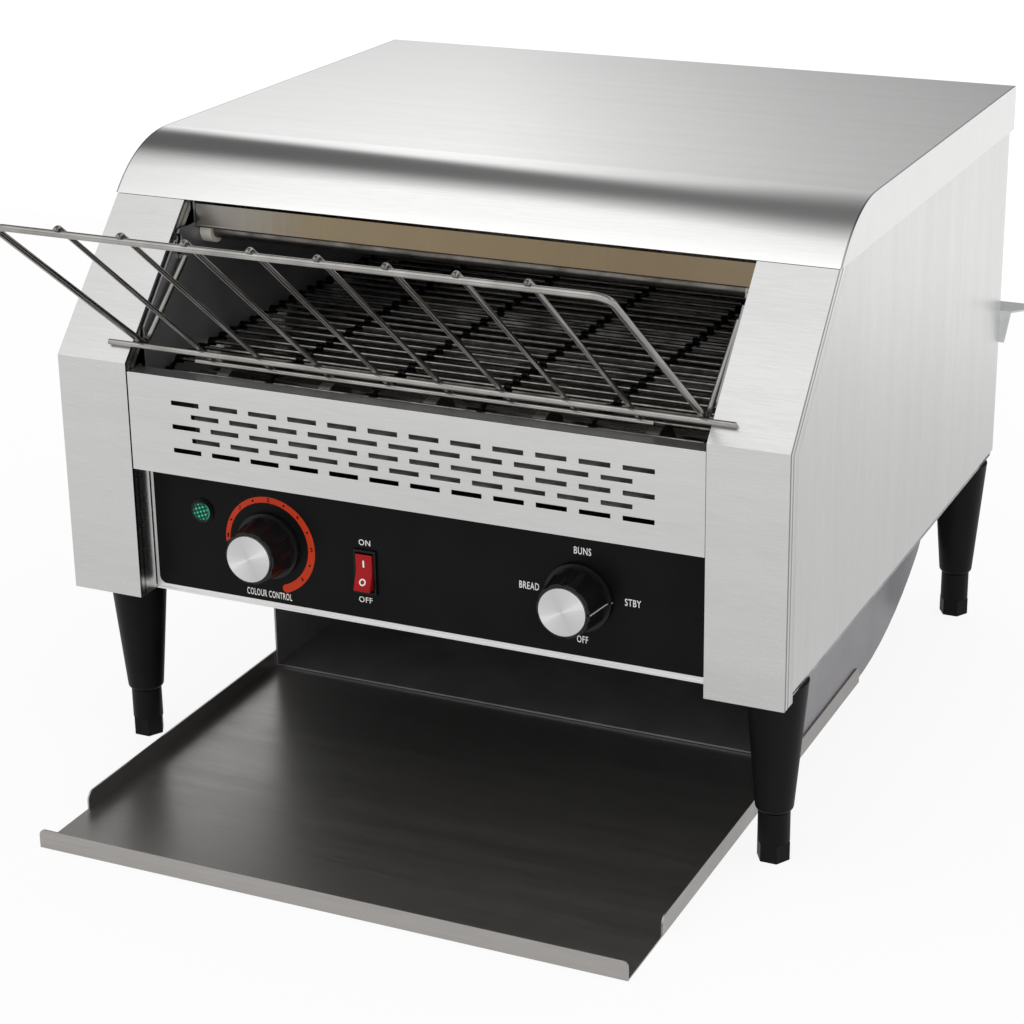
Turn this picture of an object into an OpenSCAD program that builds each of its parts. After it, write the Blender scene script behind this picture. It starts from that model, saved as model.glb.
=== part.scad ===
// Three-slice conveyor toaster, standing on a counter.
// X runs to the right of someone facing the front, Y to the back, Z up.
// The front posts stand at the front of the body; the rack and the tray reach out before them.

/* [Body] */
// Width over the two side skirts of the hood
body_w = 470; // [440:1:520]
// Depth from the face of the front posts to the back panel
body_d = 455; // [440:1:500]
// Height of legs and feet under the body
leg_h = 115; // [100:1:130]
// Height of the upright front face, up to the bend of the posts
face_h = 152; // [150:1:160]
// Rise of the slanted front face, from the bend to the edge of the hood
slant_h = 83; // [78:1:90]
// Angle of the slanted front face from the horizontal
slant_angle = 47.5; // [45:0.5:50]
// Height of the hood above its front edge
hood_rise = 30; // [27:1:36]
// Radius of the rolled front of the hood
hood_r = 78; // [45:1:84]
// Thickness of the sheet steel
sheet = 1.2; // [0.8:0.1:1.5]
// Space left between sheets that are assembled beside each other
seam = 0.2; // [0.1:0.05:0.3]

/* [Front] */
// Width of each front post
post_w = 48; // [42:1:54]
// Width of the post's flange that laps the side panel
lap_w = 14; // [10:1:18]
// Depth of the recess that holds the control panel
recess_d = 18; // [14:1:22]
// Height of the slotted vent panel
vent_h = 62; // [58:1:66]
// Gap between the vent panel and the bend of the posts
vent_drop = 5; // [3:1:8]
// Depth of the vent panel's folded flanges
vent_flange = 13; // [8:1:14]
// Length of one vent slot
slot_l = 19; // [12:1:20]
// Height of one vent slot
slot_h = 2.8; // [2:0.1:3.4]
// Spacing of the slots along a row
slot_pitch = 26.5; // [24:0.5:28]
// Spacing of the rows of slots
slot_row = 7.5; // [6:0.5:9]
// Slots in the long rows
slot_count = 12; // [8:1:12]
// Rows of slots
slot_rows = 5; // [3:2:5]
// Height of the steel lip under the black overlay
panel_lip = 4; // [3:1:8]
// Height of the black overlay
overlay_h = 80; // [76:1:84]
// Thickness of the black overlay
overlay_t = 0.6; // [0.4:0.1:1]

/* [Controls] */
// Distance of the two knobs from the middle
knob_x = 102.4; // [90:0.1:110]
// Height of the knobs above the bottom of the body
knob_z = 41.5; // [36:0.5:44]
// Radius of the knob's skirt
knob_skirt_r = 21; // [20:0.1:24]
// Radius of the fluted grip at the skirt
knob_grip_r = 19; // [18:0.1:19.5]
// Radius of the fluted grip at the front
knob_front_r = 16.6; // [16.2:0.1:17.5]
// Distance that the knob stands out from the overlay
knob_l = 24; // [20:1:30]
// Radius of the metal cap
knob_cap_r = 14.6; // [11:0.1:15]
// Number of finger flutes on the grip
flute_count = 10; // [8:1:14]
// Radius of the spindle inside the knob
spindle_r = 3; // [2.5:0.1:3.5]
// Distance of the rocker switch from the middle
switch_x = 36.6; // [30:0.1:45]
// Height of the rocker switch's middle above the bottom of the body
switch_z = 34.5; // [30:0.5:40]
// Width of the switch frame
switch_w = 15; // [13:0.5:18]
// Height of the switch frame
switch_h = 28.6; // [24:0.1:32]
// Angle that the rocker tips, from one side to the other
rocker_throw = 20; // [14:1:24]
// Distance of the lamp from the middle
lamp_x = 148.5; // [140:0.5:155]
// Height of the lamp above the bottom of the body
lamp_z = 57; // [50:1:62]
// Radius of the lamp's lens
lamp_r = 6.6; // [5:0.1:8]

/* [Legs] */
// Distance of the leg axes in from the sides of the body
leg_inset = 20; // [19:1:23]
// Distance of the front leg axes behind the post face
leg_front = 42; // [30:1:60]
// Distance of the rear leg axes before the back panel
leg_back = 21; // [19:1:40]
// Radius of the leg at the body
leg_top_r = 18.5; // [15:0.5:19]
// Radius of the leg at its lower end
leg_tip_r = 11.5; // [10.5:0.5:13]
// Height of the foot's round collar and hexagon
foot_h = 32; // [28:1:38]
// Radius of the foot's round collar
foot_r = 9.6; // [8.5:0.1:10]
// Height of the foot's hexagon
hex_h = 11.5; // [8:0.5:14]
// Distance that a foot screws out
foot_travel = 15; // [8:1:18]

/* [Loading rack] */
// Distance that the rack's top end reaches before the posts
rack_reach = 126; // [110:0.5:130]
// Height of the rack's top bar above the bend of the posts
rack_rise = 115; // [100:1:120]
// Half width between the two side arms
rack_half = 180; // [172:0.5:180]
// Radius of the frame's wire
rack_r = 2; // [1.8:0.05:2.4]
// Radius of the lower cross rod
cross_r = 1.75; // [1.6:0.05:2.2]
// Radius of the thin wires
wire_r = 1.5; // [1.3:0.05:1.7]
// Spacing of the thin wires
wire_pitch = 39.3; // [36:0.1:42]
// Number of thin wires, joined in pairs
wire_count = 8; // [6:2:8]
// Length of the thin wires below the cross rod
wire_tail = 28; // [24:1:30]
// Bend radius of the frame's top corners
rack_bend = 8; // [6:1:20]
// Distance of the hook pivot behind the post face
hook_y = 64; // [60:1:66]
// Height of the hook pivot above the bend of the posts
hook_z = 50; // [48:1:54]

/* [Conveyor] */
// Spacing of the belt's rods
belt_pitch = 12.7; // [12:0.1:13]
// Least distance between the rear belt shaft and the back of the body
belt_back = 60; // [58:1:66]
// Spacings of the belt that lie on a full belt wheel
wheel_steps = 10; // [8:2:10]
// Distance of the front belt shaft behind the post face
front_shaft_y = 44; // [42:1:48]
// Depth of the belt's top below the bend of the posts
belt_drop = 8.5; // [7:0.5:12]
// Half width of the belt
belt_half = 178; // [160:1:178]
// Radius of the belt's rods
belt_rod_r = 1.25; // [1:0.05:1.5]
// Spacing of the strands of links
strand_pitch = 70; // [60:1:71]
// Thickness of a link
link_t = 1.8; // [1.2:0.1:2]
// Radius of a link's eye
link_r = 2.7; // [2.3:0.1:2.9]
// Radius of the two belt shafts
shaft_r = 5; // [4:0.5:6]
// Thickness of the belt wheels
wheel_t = 4; // [3:1:8]
// Radius of the heating tubes
tube_r = 5; // [4:0.5:6]
// Heating tubes in each bank
tube_count = 4; // [3:1:4]
// Height of the tunnel between the belt and the upper tubes
tunnel_h = 64; // [45:1:66]

/* [Drive] */
// Spacing of the drive chain's rollers
chain_pitch = 9.525; // [9:0.005:10]
// Teeth on the motor's chain wheel
motor_teeth = 9; // [9:1:11]
// Teeth on the belt shaft's chain wheel
shaft_teeth = 18; // [15:1:18]
// Radius of the drive chain's rollers
roller_r = 3.1; // [2.8:0.1:3.3]
// Radius of the gear motor
motor_r = 30; // [26:1:32]
// Length of the gear motor
motor_l = 42; // [36:1:60]

/* [Toast return] */
// Distance that the chute's sides stand outside the inner walls
chute_side = 2.9; // [1:0.1:3]
// Radius of the chute's long lower curve
chute_r = 260; // [240:5:270]
// Distance of the chute's front lip behind the post face
chute_lip = 160; // [140:1:180]
// Distance of the start of the chute's curve behind the post face
chute_bend = 290; // [285:1:300]
// Distance that the tray reaches before the posts
tray_reach = 118; // [90:1:120]
// Distance of the tray's back edge behind the post face
tray_back = 292; // [285:1:295]
// Distance between the tray's front lip and its side flanges
tray_notch = 50; // [30:1:60]
// Height of the tray's lip and flanges
tray_h = 12; // [9:1:16]
// Thickness of the tray's floor
tray_t = 1; // [0.8:0.1:1.2]

/* [Back] */
// Distance that the rear brackets stand behind the back panel
bracket_reach = 23; // [15:0.5:30]
// Height of the rear brackets above the bottom of the body
bracket_z = 84; // [70:1:110]

/* [Hidden] */
$fn = 48;

// The origin lies under the middle of the whole toaster, from the rack's top bar to the rear brackets.
mid_y = (body_d + bracket_reach - rack_reach) / 2;
run_gap = 0.3;
cut = 1;

// Heights of the body.
body_z = leg_h;
bend_z = body_z + face_h;
slant_z = bend_z + slant_h;
hood_z = slant_z + hood_rise;
slant_y = slant_h / tan(slant_angle);

// Layers of sheet, from the outside in: hood skirt, post flange, side panel, inner wall.
hood_x = body_w / 2;
post_x = hood_x - sheet - seam;
side_x = post_x - sheet - seam;
post_in = hood_x - sheet - seam - post_w;
wall_x = post_in - 1;
wall_in = wall_x - sheet;
bay_x = side_x - sheet;
pan_top = body_z + sheet;
wall_foot = pan_top + seam;

// Front panels.
panel_half = post_in - run_gap;
vent_top = bend_z - vent_drop;
vent_foot = vent_top - vent_h;
panel_y = recess_d + overlay_t;
panel_back = panel_y + sheet;
overlay_z = body_z + panel_lip;
overlay_half = panel_half - 2.5;
panel_top = vent_foot + 6;
shield_y = 7;
slot_bottom = vent_foot + (vent_h - slot_row * (slot_rows - 1)) / 2 - slot_h / 2;

// Controls.
control_z = body_z + knob_z;
hole_clear = 0.6;
knob_gap = 0.5;
skirt_t = 3;
cap_t = 2;
spindle_end = panel_back + 10;
rocker_w = switch_w - 4;
rocker_h = switch_h - 5;
bezel_t = 2;
rocker_y = recess_d - 1;

// Feet.
stem_r = 5;
stem_l = foot_travel + 25;

// Belt.
wheel_pitch_r = belt_pitch / (2 * sin(180 / wheel_steps));
belt_z = bend_z - belt_drop;
shaft_z = belt_z - wheel_pitch_r;
belt_run = floor((body_d - front_shaft_y - belt_back) / belt_pitch);
run_l = belt_run * belt_pitch;
drive_y = front_shaft_y + run_l;
wheel_r = wheel_pitch_r - belt_rod_r - run_gap;
rod_count = 2 * belt_run + wheel_steps;
strand_x = [for (i = [-2.5 : 2.5]) i * strand_pitch];
wheel_x = [for (i = [-2 : 2]) i * strand_pitch];
shaft_clear = 0.08;
bush_r = shaft_r + 3;
flange_r = shaft_r + 6;
flange_t = 2;
shaft_end = wall_x + flange_t + 3;
link_eye = belt_rod_r + 0.15;
link_gap = 0.4;

// Heating tubes.
upper_tube_z = belt_z + tunnel_h + tube_r;
lower_tube_z = belt_z - belt_rod_r - tube_r - 6;
tube_from = front_shaft_y + wheel_pitch_r + 31;
tube_to = drive_y - wheel_pitch_r - 26;
holder_r = tube_r + 3;
holder_t = 8;
reflector_gap = 12;
reflector_over = 18;

// Drive.
motor_y = drive_y - 100;
motor_z = pan_top + motor_r + 16;
motor_pitch_r = chain_pitch / (2 * sin(180 / motor_teeth));
shaft_pitch_r = chain_pitch / (2 * sin(180 / shaft_teeth));
chain_x = wall_x + 16;
chain_gap = norm([drive_y - motor_y, shaft_z - motor_z]);
chain_tilt = atan2(shaft_z - motor_z, drive_y - motor_y);
chain_lean = asin((shaft_pitch_r - motor_pitch_r) / chain_gap);
chain_run = chain_gap * cos(chain_lean);
motor_hole_r = 11;
motor_rim = 6;
partition_gap = 8.1;
partition_fold = 14;

// Chute and tray.
chute_half = wall_x + chute_side;
tray_half = chute_half + run_gap + tray_t;
chute_z = tray_t + 0.4;
chute_back = body_d - 8;
curve_end = chute_back - 18;
curve_angle = asin((curve_end - chute_bend) / chute_r);
curve_z = chute_z + chute_r * (1 - cos(curve_angle));
heel_r = (chute_back - curve_end) / (1 - sin(curve_angle));
chute_top = body_z + 88;
partition_y = motor_y + motor_r + motor_rim + partition_gap;

// Cable gland.
gland_x = (wall_x + bay_x) / 2;
gland_z = body_z + 44;
gland_r = 8;

// Loading rack: the cross rod lies on the slanted post faces, the arms lie on the cross rod.
slant_in = [sin(slant_angle), -cos(slant_angle)];
slant_up = [cos(slant_angle), sin(slant_angle)];
cross_at = [0, bend_z] + 12 * slant_up - (cross_r + run_gap) * slant_in;
weld = 0.3;
swell = 0.03;
hook_wire = rack_r + wire_r - weld;
top_bar = [rack_r + swell - rack_reach, bend_z + rack_rise];
hook_at = [hook_y, bend_z + hook_z];
arm_offset = cross_r + rack_r - weld;
arm_span = norm(top_bar - cross_at);
arm_angle = atan2(top_bar[1] - cross_at[1], cross_at[0] - top_bar[0]) - asin(arm_offset / arm_span);
arm_up = [-cos(arm_angle), sin(arm_angle)];
arm_out = [sin(arm_angle), cos(arm_angle)];
fold_at = cross_at + arm_offset * arm_out - 8 * arm_up;
arm_l = norm(top_bar - fold_at);
hook_way = (hook_at - fold_at) / norm(hook_at - fold_at);
fold_r = 9;
fold_half = acos(arm_up * hook_way) / 2;
fold_start = fold_r / tan(fold_half);
fold_mid = (arm_up + hook_way) / norm(arm_up + hook_way);
wire_bend = 7;
cross_up = 8;
cross_half = rack_half + 20;
stay_drop = 16;
stay_half = (wire_count - 1) / 2 * wire_pitch + 10;

// Turns a drawing in depth and height into a plate that starts at x and is w thick.
module across(x, w) {
    translate([x, 0, 0])
        rotate([90, 0, 90])
            linear_extrude(w)
                children();
}

module placed() {
    translate([0, -mid_y, 0])
        children();
}

module both_sides() {
    children();
    mirror([1, 0, 0])
        children();
}

// A straight rod from a to b.
module rod(a, b, r) {
    way = b - a;
    reach = norm(way);
    translate(a)
        rotate([0, acos(way[2] / reach), atan2(way[1], way[0])])
            cylinder(r = r, h = reach);
}

// A round piece whose axis runs along X.
module disc_x(x, w, r) {
    translate([x, 0, 0])
        rotate([0, 90, 0])
            cylinder(r = r, h = w);
}

// A round piece whose axis runs along Y, from y to y + h.
module disc_y(y, h, r) {
    translate([0, y, 0])
        rotate([-90, 0, 0])
            cylinder(r = r, h = h);
}

// Side outline of the body: upright front, slanted front, rolled hood edge, flat top.
// The front and the top move in by inset, the back and the bottom stay.
module side_outline(inset) {
    arc_z = hood_z - hood_r;
    arc_y = (hood_r + (arc_z - bend_z) * cos(slant_angle)) / sin(slant_angle);
    mid = [arc_y, arc_z];
    far = 2 * hood_r;
    difference() {
        translate([inset, body_z])
            square([body_d - inset, face_h + slant_h + hood_rise - inset]);
        translate([0, bend_z] + inset * slant_in)
            polygon([
                -far * slant_up,
                2 * far * slant_up,
                2 * far * (slant_up - slant_in),
                -far * slant_up - 2 * far * slant_in
            ]);
        difference() {
            polygon([mid, mid - far * slant_in, mid + far * ([0, 1] - slant_in), mid + [0, far]]);
            translate(mid)
                circle(r = hood_r - inset + 0.01, $fn = 96);
        }
    }
}

// Strip of the side outline between two insets and two heights.
module outline_strip(from, to, low, high) {
    intersection() {
        difference() {
            side_outline(from);
            side_outline(to);
        }
        translate([-cut, low])
            square([body_d, high - low]);
    }
}

module hood() {
    lip = 8;
    color("silver") placed() {
        across(-hood_x, body_w) outline_strip(0, sheet, slant_z, hood_z + cut);
        both_sides() across(hood_x - sheet, sheet) intersection() {
            side_outline(sheet / 2);
            translate([0, slant_z]) square([body_d, hood_rise + cut]);
        }
        across(run_gap - wall_in, 2 * (wall_in - run_gap)) intersection() {
            outline_strip(sheet / 2, lip, slant_z, slant_z + sheet);
            square([body_d / 2, hood_z]);
        }
    }
}

module side_panel() {
    color("gainsboro") placed() across(side_x - sheet, sheet) intersection() {
        side_outline(sheet + seam);
        translate([0, body_z + 4]) square([body_d, face_h + slant_h + hood_rise]);
    }
}

module left_side_panel() {
    mirror([1, 0, 0]) side_panel();
}

module right_side_panel() {
    side_panel();
}

// Folded channel: face, lap over the side panel and inner return that frames the opening.
module front_post() {
    color("lightgray") placed() {
        across(post_in, post_w) intersection() {
            outline_strip(0, sheet, body_z, slant_z - seam);
            square([slant_y + sheet, hood_z]);
        }
        across(post_x - sheet, sheet) intersection() {
            outline_strip(sheet / 2, lap_w, body_z, slant_z - seam);
            square([slant_y + lap_w * 2, hood_z]);
        }
        across(post_in, sheet) intersection() {
            outline_strip(sheet / 2, 10, body_z, slant_z - seam);
            square([slant_y + lap_w * 2, hood_z]);
        }
        translate([post_in, sheet / 2, body_z])
            cube([sheet, recess_d - sheet / 2 - seam, vent_top - body_z]);
    }
}

module left_front_post() {
    mirror([1, 0, 0]) front_post();
}

module right_front_post() {
    front_post();
}

module back_panel() {
    louvre_w = 60;
    louvre_h = 3;
    louvre_pitch = 9;
    color("silver") placed() difference() {
        translate([-bay_x + seam, body_d - sheet, pan_top + seam])
            cube([2 * (bay_x - seam), sheet, hood_z - sheet - seam - pan_top - seam]);
        for (x = [-2 : 2], row = [0 : 5])
            translate([x * 80 - louvre_w / 2, body_d - sheet - cut, slant_z - 62 + row * louvre_pitch])
                cube([louvre_w, sheet + 2 * cut, louvre_h]);
        translate([gland_x, body_d, gland_z]) disc_y(-sheet - cut, sheet + 2 * cut, gland_r);
    }
}

module base_pan() {
    color("silver") placed() {
        difference() {
            translate([-bay_x + seam, panel_back + seam, body_z])
                cube([2 * (bay_x - seam), body_d - sheet - seam - panel_back - seam, sheet]);
            translate([-chute_half - 0.5, partition_y + sheet, body_z - cut])
                cube([2 * chute_half + 1, chute_back + 0.5 - partition_y - sheet, sheet + 2 * cut]);
        }
        both_sides() translate([bay_x - seam - sheet, panel_back + 20, body_z])
            cube([sheet, body_d - panel_back - 40, 20]);
    }
}

module vent_panel() {
    color("lightgray") placed() difference() {
        union() {
            translate([-panel_half, sheet / 2, vent_foot]) cube([2 * panel_half, sheet, vent_h]);
            translate([-panel_half, sheet / 2, vent_top - sheet])
                cube([2 * panel_half, vent_flange, sheet]);
            translate([-panel_half, sheet / 2, vent_foot])
                cube([2 * panel_half, panel_y - seam - sheet / 2, sheet]);
            both_sides() translate([panel_half - sheet, sheet / 2, vent_foot])
                cube([sheet, vent_flange, vent_h]);
        }
        for (row = [0 : slot_rows - 1]) {
            count = slot_count - row % 2;
            z = slot_bottom + row * slot_row;
            for (i = [0 : count - 1])
                translate([(i - (count - 1) / 2) * slot_pitch - slot_l / 2, 0, z])
                    cube([slot_l, sheet * 2, slot_h]);
        }
    }
}

// Plate behind the slots, hung from the folded top of the vent panel.
module heat_shield() {
    from = -(slot_count / 2 - 1) * slot_pitch - slot_l / 2 - 1.5;
    to = (slot_count - 1) / 2 * slot_pitch + slot_l / 2 + 5;
    foot = slot_bottom + slot_h + 0.6;
    top = vent_top - sheet - seam;
    y = sheet * 1.5 + seam;
    color("silver") placed() {
        translate([from, shield_y, foot]) cube([to - from, sheet, top - foot]);
        translate([from, y, top - sheet]) cube([to - from, shield_y + sheet / 2 - y, sheet]);
    }
}

module control_panel() {
    color("silver") placed() difference() {
        union() {
            translate([-panel_half, panel_y, body_z]) cube([2 * panel_half, sheet, panel_top - body_z]);
            translate([-panel_half, recess_d, body_z])
                cube([2 * panel_half, panel_y - recess_d + sheet, sheet]);
        }
        panel_holes(panel_y - cut, sheet + 2 * cut);
    }
}

module control_overlay() {
    corner = 5;
    color("black") placed() difference() {
        across_y(recess_d, overlay_t) difference() {
            translate([-overlay_half, overlay_z]) square([2 * overlay_half, overlay_h]);
            for (side = [-1, 1]) translate([side * overlay_half, overlay_z]) difference() {
                square(2 * corner, center = true);
                translate([-side * corner, corner]) circle(r = corner);
            }
        }
        panel_holes(recess_d - cut, overlay_t + 2 * cut);
    }
}

// Turns a drawing in width and height into a plate that starts at y and is t thick.
module across_y(y, t) {
    translate([0, y + t, 0])
        rotate([90, 0, 0])
            linear_extrude(t)
                children();
}

// Holes for the two spindles, the lamp and the switch.
module panel_holes(y, depth) {
    for (side = [-1, 1])
        translate([side * knob_x, 0, control_z]) disc_y(y, depth, spindle_r + hole_clear);
    translate([-lamp_x, 0, body_z + lamp_z]) disc_y(y, depth, lamp_r - 1);
    translate([-switch_x - switch_w / 2 + 1, y, body_z + switch_z - switch_h / 2 + 1])
        cube([switch_w - 2, depth, switch_h - 2]);
}

module upper_baffle() {
    half = wall_in - run_gap;
    drop = 4;
    strip_h = 14;
    hem_r = 1.1;
    y = slant_y + 8;
    top = slant_z - drop;
    color("dimgray") placed() {
        translate([-half, y, top - strip_h]) cube([2 * half, sheet, strip_h]);
        translate([-half, y, top - sheet]) cube([2 * half, 24, sheet]);
        translate([0, y + hem_r - 0.2, top - strip_h]) disc_x(-half, 2 * half, hem_r);
    }
}

// Wall between the toasting tunnel and the side bay, with a keyhole for the rack's hook.
module inner_wall() {
    color("gray") placed() difference() {
        across(wall_in, sheet) difference() {
            intersection() {
                side_outline(3);
                translate([panel_back + seam, wall_foot])
                    square([chute_back - sheet - 2 * seam - panel_back, hood_z - sheet - seam - wall_foot]);
            }
            translate([0, slant_z - 16]) square([slant_y + 8 - seam, slant_h]);
            translate(hook_at) circle(r = rack_r + 0.3);
            translate(hook_at - [rack_r + 0.3, 0]) square([2 * rack_r + 0.6, 10]);
            translate(hook_at + [0, 11]) circle(r = rack_r + 1.8);
        }
        for (y = [front_shaft_y, drive_y]) translate([0, y, shaft_z])
            disc_x(wall_in - cut, sheet + 2 * cut, bush_r);
        translate([0, motor_y, motor_z]) disc_x(wall_in - cut, sheet + 2 * cut, motor_hole_r);
    }
}

module left_inner_wall() {
    mirror([1, 0, 0]) inner_wall();
}

module right_inner_wall() {
    inner_wall();
}

module inner_partition() {
    half = wall_in - run_gap;
    color("gray") placed() {
        translate([-half, partition_y, wall_foot]) cube([2 * half, sheet, chute_top - wall_foot]);
        translate([-half, partition_y - partition_fold, wall_foot])
            cube([2 * half, partition_fold + sheet, sheet]);
    }
}

module upper_reflector() {
    half = wall_in - run_gap;
    front = tube_from - holder_r - 1;
    color("silver") placed() {
        translate([-half, front, upper_tube_z + reflector_gap])
            cube([2 * half, tube_to + reflector_over - front, sheet]);
        translate([-half, tube_to + reflector_over - sheet, upper_tube_z])
            cube([2 * half, sheet, reflector_gap + sheet / 2]);
    }
}

module lower_reflector() {
    half = wall_in - run_gap;
    color("silver") placed() {
        translate([-half, tube_from - reflector_over, lower_tube_z - reflector_gap])
            cube([2 * half, tube_to - tube_from + 2 * reflector_over - 4, sheet]);
        for (y = [tube_from - reflector_over, tube_to + reflector_over - 4 - sheet])
            translate([-half, y, lower_tube_z - reflector_gap]) cube([2 * half, sheet, 6]);
    }
}

function tube_y(i) = tube_from + i * (tube_to - tube_from) / (tube_count - 1);

module heating_tubes(z) {
    half = wall_in - run_gap - 1;
    placed() for (i = [0 : tube_count - 1]) translate([0, tube_y(i), z]) {
        disc_x(-half, 2 * half, tube_r);
    }
}

module upper_heating_tubes() {
    color("dimgray") heating_tubes(upper_tube_z);
}

module lower_heating_tubes() {
    color("dimgray") heating_tubes(lower_tube_z);
}

// Ceramic blocks that hold the tube ends at the inner walls.
module tube_holders() {
    color("white") placed() both_sides()
        for (i = [0 : tube_count - 1], z = [upper_tube_z, lower_tube_z])
            translate([wall_in - run_gap, tube_y(i), z]) difference() {
                disc_x(-holder_t, holder_t, holder_r);
                disc_x(-holder_t - cut, holder_t, tube_r + 0.1);
            }
}

// Place of belt rod k in depth and height: along the top, round the drive end, back below.
function belt_at(k) =
    let (half = wheel_steps / 2, step = 360 / wheel_steps)
    k <= belt_run ? [front_shaft_y + k * belt_pitch, belt_z]
    : k < belt_run + half
        ? let (a = 90 - (k - belt_run) * step)
            [drive_y + wheel_pitch_r * cos(a), shaft_z + wheel_pitch_r * sin(a)]
    : k <= 2 * belt_run + half
        ? [drive_y - (k - belt_run - half) * belt_pitch, shaft_z - wheel_pitch_r]
    : let (a = 270 - (k - 2 * belt_run - half) * step)
        [front_shaft_y + wheel_pitch_r * cos(a), shaft_z + wheel_pitch_r * sin(a)];

module belt_rods() {
    color("dimgray") placed()
        for (k = [0 : rod_count - 1]) {
            at = belt_at(k);
            translate([0, at[0], at[1]]) disc_x(-belt_half, 2 * belt_half, belt_rod_r, $fn = 16);
        }
}

// One link: an eye round each of two neighbouring rods and the bar between them.
module belt_link(x, a, b) {
    way = b - a;
    span = norm(way);
    translate([x, a[0], a[1]])
        rotate([atan2(way[1], way[0]), 0, 0])
            across(-link_t / 2, link_t)
                difference() {
                    union() {
                        circle(r = link_r, $fn = 20);
                        translate([span, 0]) circle(r = link_r, $fn = 20);
                        translate([0, -link_t / 2]) square([span, link_t]);
                    }
                    circle(r = link_eye, $fn = 20);
                    translate([span, 0]) circle(r = link_eye, $fn = 20);
                }
}

module belt_links() {
    color("dimgray") placed()
        for (x = strand_x, k = [0 : rod_count - 1]) {
            side = k % 2 == 0 ? 1 : -1;
            belt_link(x + side * (link_t + link_gap) / 2, belt_at(k), belt_at((k + 1) % rod_count));
        }
}

module shaft_bushes() {
    color("goldenrod") placed() both_sides()
        for (y = [front_shaft_y, drive_y]) translate([0, y, shaft_z]) difference() {
            union() {
                disc_x(wall_in - 1, sheet + 1.5, bush_r - 0.1);
                disc_x(wall_x + seam, flange_t, flange_r);
            }
            disc_x(wall_in - 2, sheet + flange_t + 4, shaft_r + shaft_clear);
        }
}

module belt_shaft(reach) {
    disc_x(-shaft_end, shaft_end + reach, shaft_r);
}

module drive_shaft() {
    color("silver") placed() translate([0, drive_y, shaft_z]) belt_shaft(chain_x + 6);
}

module front_shaft() {
    color("silver") placed() translate([0, front_shaft_y, shaft_z]) belt_shaft(shaft_end);
}

// Wheel whose shallow notches take the belt's rods.
module belt_wheels() {
    notch_r = belt_rod_r + run_gap + 0.35;
    color("gray") placed() for (x = wheel_x) translate([x, drive_y, shaft_z])
        across(-wheel_t / 2, wheel_t) difference() {
            circle(r = wheel_r);
            circle(r = shaft_r);
            for (k = [0 : wheel_steps - 1]) rotate(90 + k * 360 / wheel_steps)
                translate([wheel_pitch_r, 0]) circle(r = notch_r);
            for (k = [0 : 4]) rotate(k * 72) translate([wheel_r * 0.62, 0]) circle(r = 3);
        }
}

module front_rollers() {
    color("gray") placed() for (x = wheel_x) translate([x, front_shaft_y, shaft_z]) difference() {
        disc_x(-wheel_t, 2 * wheel_t, wheel_r);
        disc_x(-wheel_t - cut, 2 * wheel_t + 2 * cut, shaft_r);
    }
}

// Chain wheel whose tooth tips stay inside the circle of the chain's rollers.
module chain_wheel(teeth, pitch_r, bore) {
    tip_r = pitch_r - roller_r - run_gap;
    hub_r = bore + 3;
    difference() {
        union() {
            across(-1.2, 2.4) difference() {
                circle(r = tip_r);
                for (k = [0 : teeth - 1]) rotate((k + 0.5) * 360 / teeth)
                    translate([tip_r + roller_r * 0.55, 0]) circle(r = roller_r, $fn = 24);
            }
            disc_x(1, 5, hub_r);
        }
        disc_x(-3, 12, bore);
    }
}

module driven_chain_wheel() {
    color("gray") placed() translate([chain_x, drive_y, shaft_z])
        mirror([1, 0, 0]) chain_wheel(shaft_teeth, shaft_pitch_r, shaft_r);
}

module motor_chain_wheel() {
    axle_r = 3.5;
    color("gray") placed() translate([chain_x, motor_y, motor_z]) {
        mirror([1, 0, 0]) chain_wheel(motor_teeth, motor_pitch_r, axle_r);
        disc_x(wall_in - chain_x - 8, chain_x - wall_in + 8 + 4, axle_r);
    }
}

// Place of chain roller k along the loop, in depth and height from the motor's axis.
function chain_at(s) =
    let (
        lean = chain_lean,
        big = (180 + 2 * lean) * PI / 180 * shaft_pitch_r,
        small = (180 - 2 * lean) * PI / 180 * motor_pitch_r,
        up = [sin(-lean), cos(lean)],
        low = [sin(-lean), -cos(lean)]
    )
    s < chain_run ? motor_pitch_r * up + s * [cos(lean), sin(lean)]
    : s < chain_run + big
        ? let (a = 90 + lean - (s - chain_run) / shaft_pitch_r * 180 / PI)
            [chain_gap, 0] + shaft_pitch_r * [cos(a), sin(a)]
    : s < 2 * chain_run + big
        ? [chain_gap, 0] + shaft_pitch_r * low - (s - chain_run - big) * [cos(lean), -sin(lean)]
    : let (a = 270 - lean - (s - 2 * chain_run - big) / motor_pitch_r * 180 / PI)
        motor_pitch_r * [cos(a), sin(a)];

// Two link plates side by side, from one roller's axis to the next.
module link_plates(x, span) {
    plate_t = 0.8;
    both_sides() across(x, plate_t) {
        for (y = [0, span]) translate([y, 0]) circle(r = roller_r + 0.6, $fn = 24);
        translate([0, -roller_r / 2]) square([span, roller_r]);
    }
}

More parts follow.
